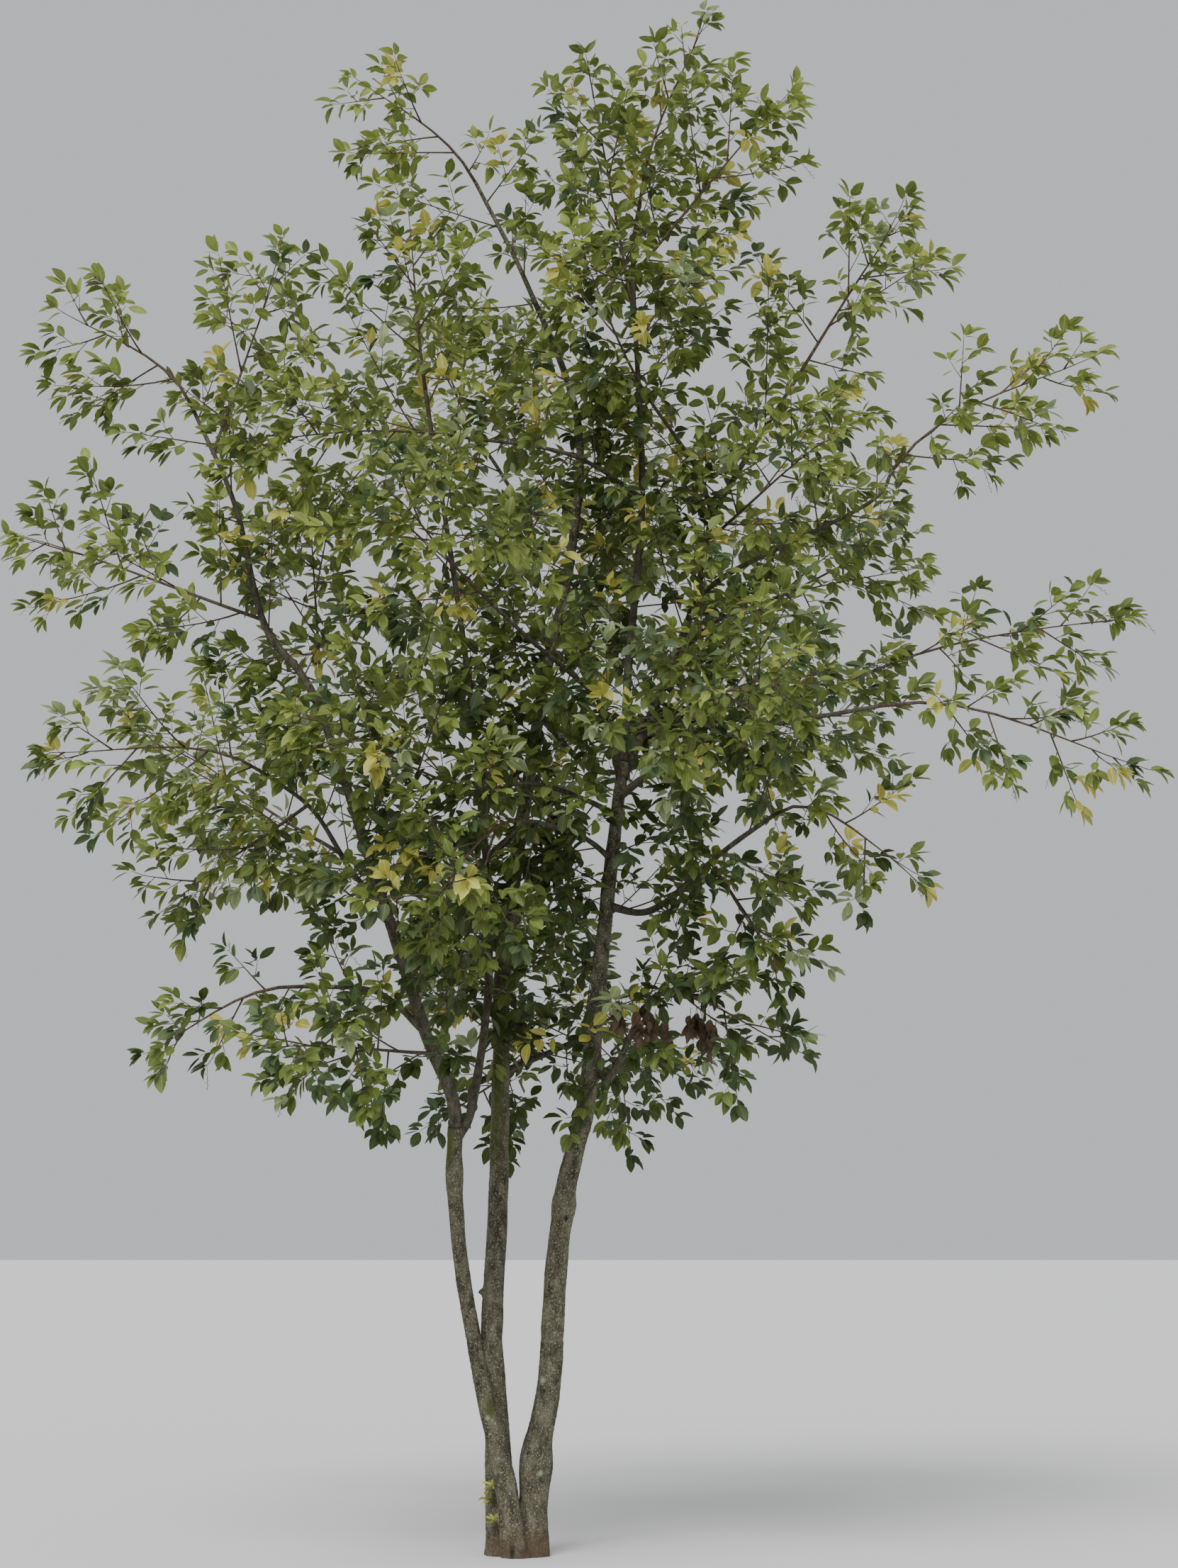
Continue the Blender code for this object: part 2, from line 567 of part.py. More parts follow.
class Grower:
    """Grows the twigs and leaves of one mass and keeps their solids until they are fused."""

    def __init__(self, mass, masses, placed):
        self.mass = mass
        self.masses = masses
        self.placed = placed
        self.rng = random.Random(mass.name)
        self.pieces = []

    def leaf_fits(self, owner, root, along, face, length):
        """True where a leaf stays in the mass's space and touches only its own twig."""
        side = along.cross(face).normalized() * length * LEAF_WIDTH / 2
        widest = root + along * length * LEAF_WIDEST
        corners = (widest + side, widest - side, widest, root + along * length * 0.98)
        if not all(self.mass.owns(corner, self.masses) for corner in corners):
            return False
        trial = leaf(root, along, face, length, FOLIAGE_GAP)
        free = not self.placed.touches(trial, owner)
        trial.free()
        return free

    def add_leaf(self, owner, root, along):
        """Put a leaf on a twig, smaller where the full size doesn't fit, or leave it out."""
        outward = (root - self.mass.middle).normalized()
        wander = Vector([self.rng.uniform(-1, 1) for _ in range(3)])
        face = outward + Vector((0, 0, 1)) + wander * LEAF_WANDER
        for size in LEAF_SIZES:
            length = self.mass.leaf_length * size
            if self.leaf_fits(owner, root, along, face, length):
                self.keep(owner + "_leaf", leaf(root, along, face, length))
                return

    def keep(self, owner, solid):
        """Hold a solid for the mass and mark its place as taken."""
        self.placed.add(owner, solid)
        self.pieces.append(solid)

    def add_tip_leaf(self):
        """The leaf at the end of the stem, which reaches the furthest tip."""
        end = self.mass.line[-1]
        along = (self.mass.reach - end).normalized()
        root = end - along * END_SINK
        self.keep(self.mass.name, leaf(root, along, Vector((0.2, -0.5, 0.8)),
                                       (self.mass.reach - root).length))

    def add_stalk_leaf(self, share, turn):
        """A leaf that stands on the stem itself."""
        root, forward = self.mass.at(share)
        along = leaning(forward, LEAF_LEAN, turn)
        self.add_leaf(self.mass.name, root, along)

    def add_twig(self, number, share, turn):
        """A side twig, with a leaf at its end and pairs of leaves along it."""
        foot, forward = self.mass.at(share)
        first_lean, last_lean = TWIG_LEAN
        lean = first_lean + (last_lean - first_lean) * share + self.rng.uniform(-6, 6)
        direction = leaning(forward, math.radians(lean), turn)
        reach = 0.0
        while self.mass.owns(foot + direction * (reach + REACH_STEP), self.masses):
            reach += REACH_STEP
        if reach < self.mass.leaf_length * LEAF_SIZES[-1]:
            return
        length = max(reach - self.mass.leaf_length, SHORTEST_TWIG)
        end = foot + direction * length
        owner = f"{self.mass.name}_twig_{number}"
        trial = tube([foot.lerp(end, 0.5), end],
                     [radius + FOLIAGE_GAP for radius in TWIG_RADII], TWIG_SIDES)
        blocked = self.placed.touches(trial, self.mass.name)
        trial.free()
        if blocked:
            return
        self.keep(owner, tube([foot, end], TWIG_RADII, TWIG_SIDES))
        self.add_leaf(owner, end - direction * END_SINK, direction)
        for pair in range(round(length / LEAF_STEP)):
            root = end.lerp(foot, (pair + 0.4) * LEAF_STEP / length)
            turn = pair * math.pi / 2 + number + self.rng.uniform(-0.4, 0.4)
            for half_turn in (0, math.pi):
                self.add_leaf(owner, root, leaning(direction, LEAF_LEAN, turn + half_turn))

    def grow(self):
        """All twigs and leaves, turning round the stem by the golden angle."""
        self.add_tip_leaf()
        count = self.mass.twig_count
        first, last = TWIG_SPAN
        for number in range(count):
            share = first + (last - first) * number / (count - 1)
            turn = number * GOLDEN_ANGLE + self.rng.uniform(-0.3, 0.3)
            self.add_twig(number, share, turn)
            self.add_stalk_leaf(min(share + 0.4 / count, 0.95), turn + math.pi)


def leaning(forward, lean, turn):
    """A direction that leans off another, turned round it."""
    across = forward.orthogonal().normalized()
    across.rotate(Matrix.Rotation(turn, 3, forward))
    return forward * math.cos(lean) + across * math.sin(lean)


def make_mass(mass, masses, placed, stalk, look):
    """Grow a mass's twigs and leaves and fuse them to its stem as one solid."""
    grower = Grower(mass, masses, placed)
    grower.grow()
    made = make_object(mass.name, stalk, look)
    if not mass.on_tip:
        clear_of_limbs(made, [mass.limb])
    operands = [make_object(mass.name + "_piece", piece) for piece in grower.pieces]
    combine(made, operands, "UNION")


def shade_round(made):
    """Smooth shading with the sharp ends kept."""
    made.data.shade_smooth()
    made.data.set_sharp_from_angle(angle=SHARP_ANGLE)


for existing in list(bpy.data.objects):
    bpy.data.objects.remove(existing)

trunk_bark = material("trunk_bark", (0.115, 0.100, 0.070), 0.9)
stem_bark = material("stem_bark", (0.120, 0.112, 0.085), 0.88)
bough_bark = material("bough_bark", (0.095, 0.085, 0.062), 0.88)
foliage = material("foliage", (0.125, 0.155, 0.055), 0.7)

trunk, feet, limbs = make_stems(trunk_bark, stem_bark)
make_boughs(limbs, bough_bark)
for limb in limbs.values():
    shade_round(limb.object)
shade_round(trunk)

placed = Placed()
for limb in list(limbs.values()) + feet:
    thick = limb.swollen(FOLIAGE_GAP)
    placed.add(limb.name, thick)
    thick.free()

masses = [Mass(name, limbs[limb], *rest) for name, limb, *rest in MASSES]
stalks = [mass.stalk() for mass in masses]
for mass, stalk in zip(masses, stalks):
    placed.add(mass.name, stalk)
for mass, stalk in zip(masses, stalks):
    make_mass(mass, masses, placed, stalk, foliage)
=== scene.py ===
"""Bird cherry tree: the looks of its bark, twigs and leaves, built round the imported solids.

Metres, +Z up. The tree stands at the origin and is seen from -Y, as in the photograph.
"""
import math
import random
from collections import namedtuple

import bmesh
import bpy
import numpy as np
from mathutils import Matrix, Vector, noise
from mathutils.geometry import interpolate_bezier


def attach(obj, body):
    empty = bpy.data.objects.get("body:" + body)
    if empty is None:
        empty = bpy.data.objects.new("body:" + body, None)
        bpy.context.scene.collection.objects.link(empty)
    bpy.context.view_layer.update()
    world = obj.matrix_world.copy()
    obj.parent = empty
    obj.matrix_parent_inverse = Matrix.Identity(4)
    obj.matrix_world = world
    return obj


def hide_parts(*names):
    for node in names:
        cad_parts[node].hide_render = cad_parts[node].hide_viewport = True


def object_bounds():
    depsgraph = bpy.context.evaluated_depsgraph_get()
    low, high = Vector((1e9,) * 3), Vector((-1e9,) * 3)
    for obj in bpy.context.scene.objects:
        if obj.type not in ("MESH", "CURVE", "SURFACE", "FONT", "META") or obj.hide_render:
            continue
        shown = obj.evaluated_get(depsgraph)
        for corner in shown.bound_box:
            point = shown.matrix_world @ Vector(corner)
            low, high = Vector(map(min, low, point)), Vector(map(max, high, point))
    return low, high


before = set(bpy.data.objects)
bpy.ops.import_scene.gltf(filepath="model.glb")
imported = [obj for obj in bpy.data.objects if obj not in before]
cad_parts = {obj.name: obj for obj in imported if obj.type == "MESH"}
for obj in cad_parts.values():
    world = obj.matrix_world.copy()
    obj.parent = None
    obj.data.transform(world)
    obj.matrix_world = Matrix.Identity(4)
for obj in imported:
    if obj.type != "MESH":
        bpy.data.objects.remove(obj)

cad_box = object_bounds()

# The stool is the foot in which the three stems are grown together, cut flat at the ground.
# It is green wood under thin grey bark, scaly above and fluted below. Each stem is a tube
# round a smooth line, and a voxel remesh joins the tubes' feet before the bark goes on.
BELOW_GROUND = 0.04       # how far the tubes run on below the flat cut
FLARE = 0.008             # how much thicker a stem is at the ground
FLARE_HEIGHT = 0.07
CURVE_STEPS = 24          # in which a line runs from one of its points to the next
SAME_PLACE = 0.00001      # corners closer than this are one
STEM_SIDES = 44
STEM_RING = 0.011         # between the rings of a stem
STOOL_TOP = 0.98
STOOL_LAP = 0.07          # over which a stem and the stool run into each other
STOOL_TUCK = 0.80         # of a stem's radius, where the stool's top ends inside the stem
LAP_GAIN = 0.24           # of its radius that a tucked end gains over the lap
STOOL_VOXEL = 0.005
STOOL_SMOOTHINGS = 2
FULL_BARK = 0.04          # the limb's radius from which its bark is at its full relief
LUMPS = 0.0045            # how far the bark's slow lumps stand out
LUMPS_A_METRE = (14, 7)   # across the limb and up it
FINE_SCALES = 0.0017      # how far the bark's scales stand out
SCALES_A_METRE = (95, 55)
FLUTES = 0.015            # how far the flutes at the foot stand out
FLUTES_A_METRE = (28, 3.2)
FLUTES_FADE = 0.22        # the height over which the flutes fade
KNOT_REACH = 2.5          # radii of a knot, past which it isn't felt
KNOT_FALL = 1.6           # how fast it falls off

# stem, the height up to which it is in the stool, its radius at the ground, at that height
# and at its tip, and the points of its line
STEMS = (
    ("left_stem", 0.95, (0.055, 0.034, 0.031), (
        (0.00, -0.065, -BELOW_GROUND), (-0.055, -0.06, 0.33), (-0.14, -0.045, 0.69),
        (-0.195, -0.035, 0.95), (-0.253, -0.11, 1.31), (-0.275, -0.20, 1.64),
        (-0.268, -0.25, 1.86))),
    ("middle_stem", 0.95, (0.068, 0.048, 0.0085), (
        (-0.069, 0.035, -BELOW_GROUND), (-0.087, 0.05, 0.44), (-0.115, 0.015, 0.95),
        (-0.092, 0.10, 1.52), (-0.083, 0.18, 2.15), (-0.065, 0.22, 2.70),
        (0.098, 0.28, 3.84), (0.225, 0.30, 4.47), (0.26, 0.28, 5.12),
        (0.03, 0.20, 5.74), (-0.213, 0.15, 6.22))),
    ("right_stem", 0.66, (0.071, 0.054, 0.026), (
        (0.059, 0.0, -BELOW_GROUND), (0.083, 0.0, 0.43), (0.135, 0.0, 0.72),
        (0.166, 0.0, 1.21), (0.215, 0.0, 1.61), (0.30, 0.0, 1.97),
        (0.35, -0.02, 2.44), (0.433, 0.0, 3.23), (0.469, 0.0, 3.495))),
)

# burls and collars: stem, height, how far it stands out, half height
SWELLINGS = (
    ("right_stem", 0.40, 0.012, 0.09),
    ("right_stem", 1.52, 0.009, 0.05),
    ("left_stem", 1.66, 0.008, 0.08),
    ("left_stem", 1.86, 0.004, 0.06),
)

# knots and old branch scars: centre, radius, how far it stands out or, below 0, is sunk
KNOTS = (
    ((0.115, -0.045, 0.72), 0.022, 0.012), ((0.095, -0.052, 0.34), 0.026, 0.014),
    ((0.212, -0.030, 1.46), 0.018, 0.010), ((0.170, -0.045, 1.00), 0.030, -0.006),
    ((0.160, -0.045, 1.14), 0.016, 0.008), ((0.172, -0.045, 0.92), 0.014, 0.007),
    ((-0.262, -0.140, 1.20), 0.014, 0.009), ((-0.118, -0.075, 0.55), 0.020, 0.010),
    ((-0.155, 0.03, 1.14), 0.014, 0.026), ((0.02, -0.115, 0.05), 0.030, 0.016),
    ((0.10, -0.060, 0.10), 0.035, 0.012), ((-0.10, -0.01, 0.12), 0.035, 0.012),
    ((0.225, -0.030, 1.62), 0.020, 0.008), ((-0.070, 0.070, 1.75), 0.014, 0.007),
)


def smooth_line(points, step, first_direction=None):
    """Points about a step apart on a smooth line through the given ones."""
    knots = [Vector(point) for point in points]
    slopes = []
    for index in range(len(knots)):
        before = knots[max(index - 1, 0)]
        after = knots[min(index + 1, len(knots) - 1)]
        slopes.append((after - before) / (2.0 if 0 < index < len(knots) - 1 else 1.0))
    if first_direction is not None:
        slopes[0] = first_direction * slopes[0].length
    fine = [knots[0]]
    for index in range(len(knots) - 1):
        start, end = knots[index], knots[index + 1]
        curve = interpolate_bezier(start, start + slopes[index] / 3,
                                   end - slopes[index + 1] / 3, end, CURVE_STEPS)
        fine += curve[1:]
    lengths = [0.0]
    for start, end in zip(fine, fine[1:]):
        lengths.append(lengths[-1] + (end - start).length)
    count = max(2, round(lengths[-1] / step) + 1)
    line = []
    at = 0
    for index in range(count):
        wanted = lengths[-1] * index / (count - 1)
        while at < len(fine) - 2 and lengths[at + 1] < wanted:
            at += 1
        share = (wanted - lengths[at]) / (lengths[at + 1] - lengths[at])
        line.append(fine[at].lerp(fine[at + 1], min(share, 1.0)))
    return line


def ring_frames(line):
    """One frame for each point, its Z along the line, turning as little as can be."""
    directions = []
    for index in range(len(line)):
        before = line[max(index - 1, 0)]
        after = line[min(index + 1, len(line) - 1)]
        directions.append((after - before).normalized())
    turn = directions[0].to_track_quat("Z", "Y")
    frames = []
    for index, point in enumerate(line):
        if index:
            turn = directions[index - 1].rotation_difference(directions[index]) @ turn
        frames.append(Matrix.Translation(point) @ turn.to_matrix().to_4x4())
    return frames


def wrap_limb(line, radii, sides, relief):
    """A closed limb: a grid wrapped round its line, with the relief of its bark."""
    frames = ring_frames(line)
    last = len(line) - 1
    bm = bmesh.new()
    bmesh.ops.create_grid(bm, x_segments=last, y_segments=sides, size=0.5)
    for vert in bm.verts:
        ring = round((vert.co.x + 0.5) * last)
        turn = round((vert.co.y + 0.5) * sides) / sides * 2 * math.pi
        out = Vector((math.cos(turn), math.sin(turn), 0.0))
        place = frames[ring] @ (out * radii[ring])
        vert.co = place + (place - line[ring]).normalized() * relief(place, radii[ring])
    bmesh.ops.remove_doubles(bm, verts=bm.verts, dist=SAME_PLACE)
    bmesh.ops.holes_fill(bm, edges=[edge for edge in bm.edges if edge.is_boundary], sides=0)
    bmesh.ops.recalc_face_normals(bm, faces=bm.faces)
    return bm


def grained(place, across, up):
    """The place in a noise that has so many grains to the metre, across a limb and up it."""
    return Vector((place.x * across, place.y * across, place.z * up))


def bark_relief(place, radius):
    """How far the bark stands out at a place: lumps, scales and knots."""
    size = min(radius / FULL_BARK, 1.0)
    out = LUMPS * size * noise.noise(grained(place, *LUMPS_A_METRE))
    out += FINE_SCALES * size * noise.turbulence(grained(place, *SCALES_A_METRE), 3, False)
    for centre, width, height in KNOTS:
        apart = (place - Vector(centre)).length / width
        if apart < KNOT_REACH:
            out += height * math.exp(-apart * apart * KNOT_FALL)
    return out


def stool_relief(place, radius):
    """The bark's relief at the foot, where it is fluted as well."""
    fade = math.exp(-max(place.z, 0.0) / FLUTES_FADE)
    flutes = noise.noise(grained(place, *FLUTES_A_METRE))
    return bark_relief(place, radius) + FLUTES * fade * flutes


def stem_radius(name, height, joint_height, radii, tip_height):
    """The radius of a stem at a height, with its flare and its swellings."""
    ground, joint, tip = radii
    if height < joint_height:
        radius = ground + (joint - ground) * max(height, 0.0) / joint_height
    else:
        share = (height - joint_height) / (tip_height - joint_height)
        radius = joint + (tip - joint) * share
    radius += FLARE * math.exp(-max(height, 0.0) / FLARE_HEIGHT)
    for stem, middle, out, half_height in SWELLINGS:
        if stem == name:
            radius += out * math.exp(-((height - middle) / half_height) ** 2)
    return radius


def add_piece(name, bm, materials, slot, *nodes):
    """A finished piece of the tree, which replaces its CAD nodes."""
    mesh = bpy.data.meshes.new(name)
    bm.to_mesh(mesh)
    bm.free()
    mesh.shade_smooth()
    for look in materials:
        mesh.materials.append(look)
    made = bpy.data.objects.new(name, mesh)
    bpy.context.scene.collection.objects.link(made)
    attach(made, "root")
    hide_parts(*nodes)


def new_effect(name, inputs, outputs):
    """An empty shader node group with the named inputs and outputs."""
    group = bpy.data.node_groups.new(name, "ShaderNodeTree")
    for socket, kind, value in inputs:
        made = group.interface.new_socket(socket, in_out="INPUT", socket_type=kind)
        made.default_value = value
    for socket, kind in outputs:
        group.interface.new_socket(socket, in_out="OUTPUT", socket_type=kind)
    return group, group.nodes.new("NodeGroupInput"), group.nodes.new("NodeGroupOutput")


def ramp(tree, source, stops):
    """The colour that a value has on a ramp, with stops of value and colour."""
    node = tree.nodes.new("ShaderNodeValToRGB")
    elements = node.color_ramp.elements
    while len(elements) < len(stops):
        elements.new(0.5)
    for element, (place, colour) in zip(elements, stops):
        element.position = place
        element.color = (*colour, 1.0)
    tree.links.new(source, node.inputs["Fac"])
    return node.outputs["Color"]


def blend(tree, amount, first, second):
    """Two colours mixed by an amount. Either may be a socket or a plain colour."""
    node = tree.nodes.new("ShaderNodeMix")
    node.data_type = "RGBA"
    for socket, value in ((node.inputs["Factor"], amount), (node.inputs["A"], first),
                          (node.inputs["B"], second)):
        if isinstance(value, (tuple, float)):
            socket.default_value = (*value, 1.0) if isinstance(value, tuple) else value
        else:
            tree.links.new(value, socket)
    return node.outputs["Result"]


def multiplied(tree, source, amount):
    """A value multiplied by a plain amount."""
    node = tree.nodes.new("ShaderNodeMath")
    node.operation = "MULTIPLY"
    node.inputs[1].default_value = amount
    tree.links.new(source, node.inputs[0])
    return node.outputs[0]


def new_bark_surface():
    """The effect that all bark shares: grey mottle, pale flecks, pores and a fine height."""
    group, given, out = new_effect(
        "bark_surface",
        [("Vector", "NodeSocketVector", (0, 0, 0)), ("Grain", "NodeSocketFloat", 1.0)],
        [("Mottle", "NodeSocketFloat"), ("Flecks", "NodeSocketFloat"),
         ("Pores", "NodeSocketFloat"), ("Height", "NodeSocketFloat")])
    nodes, links = group.nodes, group.links
    scaled = nodes.new("ShaderNodeVectorMath")
    scaled.operation = "SCALE"
    links.new(given.outputs["Vector"], scaled.inputs[0])
    links.new(given.outputs["Grain"], scaled.inputs["Scale"])
    results = {}
    # squash under 1 draws a grain out up the limb, and over 1 round it, as bark pores lie
    for label, scale, detail, squash in (("Mottle", 26, 6, 0.5), ("Flecks", 150, 3, 0.7),
                                         ("Pores", 90, 2, 2.6), ("Height", 210, 5, 0.6)):
        turned = nodes.new("ShaderNodeMapping")
        turned.inputs["Scale"].default_value = (1.0, 1.0, squash)
        texture = nodes.new("ShaderNodeTexNoise")
        texture.inputs["Scale"].default_value = scale
        texture.inputs["Detail"].default_value = detail
        texture.inputs["Roughness"].default_value = 0.6
        links.new(scaled.outputs[0], turned.inputs["Vector"])
        links.new(turned.outputs[0], texture.inputs["Vector"])
        results[label] = texture.outputs["Fac"]
    for label, low, high in (("Flecks", 0.55, 0.66), ("Pores", 0.56, 0.66)):
        limit = nodes.new("ShaderNodeMapRange")
        limit.inputs["From Min"].default_value = low
        limit.inputs["From Max"].default_value = high
        links.new(results[label], limit.inputs["Value"])
        results[label] = limit.outputs["Result"]
    for label, source in results.items():
        links.new(source, out.inputs[label])
    return group


PATCH_SPECKLES = 55            # to the metre, where moss or lichen thins out
PATCH_EDGE = (1.75, 0.85)      # radii plus speckle, where a patch starts and where it is full


def patch_mask(tree, coordinates, centre, radii):
    """A mask that is 1 at a centre and falls to 0 at a distance, broken up by noise."""
    placed = tree.nodes.new("ShaderNodeMapping")
    placed.vector_type = "TEXTURE"
    placed.inputs["Location"].default_value = centre
    placed.inputs["Scale"].default_value = radii
    length = tree.nodes.new("ShaderNodeVectorMath")
    length.operation = "LENGTH"
    speckle = tree.nodes.new("ShaderNodeTexNoise")
    speckle.inputs["Scale"].default_value = PATCH_SPECKLES
    speckle.inputs["Detail"].default_value = 4
    added = tree.nodes.new("ShaderNodeMath")
    added.operation = "ADD"
    limit = tree.nodes.new("ShaderNodeMapRange")
    limit.inputs["From Min"].default_value = PATCH_EDGE[0]
    limit.inputs["From Max"].default_value = PATCH_EDGE[1]
    tree.links.new(coordinates, placed.inputs["Vector"])
    tree.links.new(coordinates, speckle.inputs["Vector"])
    tree.links.new(placed.outputs[0], length.inputs[0])
    tree.links.new(length.outputs["Value"], added.inputs[0])
    tree.links.new(speckle.outputs["Fac"], added.inputs[1])
    tree.links.new(added.outputs[0], limit.inputs["Value"])
    return limit.outputs["Result"]


bark_surface = new_bark_surface()
MOTTLE_ENDS = (0.36, 0.64)     # where the mottle is at its darkest and at its lightest
FLECK_LIGHTNESS = 2.3          # times a bark's light colour
PORE_DARKNESS = 0.35           # times its dark colour
PORE_SHARE = 0.75
BARK_BUMP = (0.9, 0.004)       # strength and depth


def bark(name, dark, light, grain, fleck_share, patches=()):
    """A bark: mottled between two colours, with pale flecks, pores, and patches of growth and
    earth and of painted shade.
    """
    made = bpy.data.materials.new(name)
    made.use_nodes = True
    tree = made.node_tree
    shader = tree.nodes["Principled BSDF"]
    coordinates = tree.nodes.new("ShaderNodeTexCoord").outputs["Object"]
    surface = tree.nodes.new("ShaderNodeGroup")
    surface.node_tree = bark_surface
    surface.inputs["Grain"].default_value = grain
    tree.links.new(coordinates, surface.inputs["Vector"])
    colour = ramp(tree, surface.outputs["Mottle"],
                  ((MOTTLE_ENDS[0], dark), (MOTTLE_ENDS[1], light)))
    pale = multiplied(tree, surface.outputs["Flecks"], fleck_share)
    colour = blend(tree, pale, colour, tuple(min(part * FLECK_LIGHTNESS, 1) for part in light))
    sunk = multiplied(tree, surface.outputs["Pores"], PORE_SHARE)
    colour = blend(tree, sunk, colour, tuple(part * PORE_DARKNESS for part in dark))
    for centre, radii, growth in patches:
        colour = blend(tree, patch_mask(tree, coordinates, centre, radii), colour, growth)
    tree.links.new(colour, shader.inputs["Base Color"])
    bump = tree.nodes.new("ShaderNodeBump")
    bump.inputs["Strength"].default_value = BARK_BUMP[0]
    bump.inputs["Distance"].default_value = BARK_BUMP[1]
    tree.links.new(surface.outputs["Height"], bump.inputs["Height"])
    tree.links.new(bump.outputs["Normal"], shader.inputs["Normal"])
    shader.inputs["Roughness"].default_value = 0.88
    shader.inputs["Specular IOR Level"].default_value = 0.25
    return made


MOSS = (0.060, 0.075, 0.014)
LICHEN = (0.26, 0.31, 0.19)
EARTHY = (0.090, 0.058, 0.034)
# painted shade: a near-black laid in the hollows of two knots and in a crevice low at the
# stool's front
CLEFT_SHADE = (0.020, 0.017, 0.012)
# each patch has its centre, how far it reaches, and what grows or lies there, or the
# near-black of painted shade in a cleft
stem_look = bark("bark_stem", (0.040, 0.037, 0.022), (0.148, 0.140, 0.096), 1.0, 0.8, (
    ((-0.10, 0.10, 2.25), (0.040, 0.16, 0.55), MOSS),
    ((-0.30, -0.26, 1.80), (0.030, 0.08, 0.14), MOSS),
    ((-0.12, -0.10, 0.64), (0.030, 0.03, 0.05), MOSS),
    ((-0.13, -0.10, 0.60), (0.012, 0.03, 0.012), LICHEN),
    ((0.107, -0.05, 0.76), (0.016, 0.03, 0.016), LICHEN),
    # painted shade in the hollows of two knots
    ((0.115, -0.05, 0.715), (0.012, 0.03, 0.012), CLEFT_SHADE),
    ((0.212, -0.04, 1.465), (0.012, 0.03, 0.014), CLEFT_SHADE),
    ((0.02, -0.02, 0.02), (0.17, 0.17, 0.10), EARTHY),
    # painted shade in the crevice at the stool's foot
    ((-0.02, -0.10, 0.03), (0.014, 0.05, 0.05), CLEFT_SHADE),
    ((0.10, -0.06, 0.36), (0.014, 0.03, 0.014), LICHEN)))

stool = bmesh.new()
stem_lines = {}           # each stem's whole line, and its radius at each point of it
for stem_name, joint_height, radii, points in STEMS:
    whole = smooth_line(points, STEM_RING)
    tip_height = points[-1][2]
    thickness = [stem_radius(stem_name, point.z, joint_height, radii, tip_height)
                 for point in whole]
    stem_lines[stem_name] = (whole, thickness)
    foot = [index for index, point in enumerate(whole) if point.z < STOOL_TOP]
    foot_radii = [thickness[index] * min(1.0, STOOL_TUCK + (STOOL_TOP - whole[index].z)
                                         / STOOL_LAP * LAP_GAIN) for index in foot]
    tube = wrap_limb([whole[index] for index in foot], foot_radii, STEM_SIDES,
                     lambda place, radius: 0.0)
    tube_mesh = bpy.data.meshes.new("foot")
    tube.to_mesh(tube_mesh)
    tube.free()
    stool.from_mesh(tube_mesh)
    bpy.data.meshes.remove(tube_mesh)

stool_mesh = bpy.data.meshes.new("stool")
stool.to_mesh(stool_mesh)
stool.free()
stool_object = bpy.data.objects.new("stool", stool_mesh)
bpy.context.scene.collection.objects.link(stool_object)
grown = stool_object.modifiers.new("Grown together", "REMESH")
grown.mode = "VOXEL"
grown.voxel_size = STOOL_VOXEL
fused = stool_object.evaluated_get(bpy.context.evaluated_depsgraph_get())
stool = bmesh.new()
stool.from_mesh(fused.to_mesh())
fused.to_mesh_clear()
bpy.data.objects.remove(stool_object)
bpy.data.meshes.remove(stool_mesh)
for _ in range(STOOL_SMOOTHINGS):
    bmesh.ops.smooth_vert(stool, verts=stool.verts, factor=0.5, use_axis_x=True,
                          use_axis_y=True, use_axis_z=True)
stool.normal_update()
moved = [(vert, vert.normal * stool_relief(vert.co, FULL_BARK)) for vert in stool.verts]
for vert, offset in moved:
    vert.co += offset
bmesh.ops.bisect_plane(stool, geom=stool.verts[:] + stool.edges[:] + stool.faces[:],
                       plane_co=(0, 0, 0), plane_no=(0, 0, 1), clear_inner=True)
bmesh.ops.holes_fill(stool, edges=[edge for edge in stool.edges if edge.is_boundary], sides=0)
bmesh.ops.recalc_face_normals(stool, faces=stool.faces)
add_piece("stool", stool, [stem_look], "trunk_bark", "trunk")

# The stems rise from the stool, each as one tapering tube under the same scaly bark. A stem
# starts inside the stool's top, where the two run into each other with no step.
STEM_TUCK = 0.86          # of its radius, where a stem starts inside the stool

for stem_name, (whole, thickness) in stem_lines.items():
    above = [index for index, point in enumerate(whole) if point.z > STOOL_TOP - STOOL_LAP]
    lapped = [thickness[index] * min(1.0, STEM_TUCK + (whole[index].z - STOOL_TOP + STOOL_LAP)
                                     / STOOL_LAP * LAP_GAIN) for index in above]
    tube = wrap_limb([whole[index] for index in above], lapped, STEM_SIDES, bark_relief)
    add_piece(stem_name + "_bark", tube, [stem_look], "stem_bark", stem_name)

# The boughs are smoother and darker than the stems, and swell to a collar where they leave
# their parent. Each is one tapering tube that starts inside its parent.
BOUGH_RING = 0.016
COLLAR = 0.45             # how much thicker a bough is at its foot
COLLAR_LENGTH = 0.05
STOUT_BOUGH = 0.015       # the foot's radius from which a bough is given more sides
STOUT_SIDES = 20
SLIM_SIDES = 14

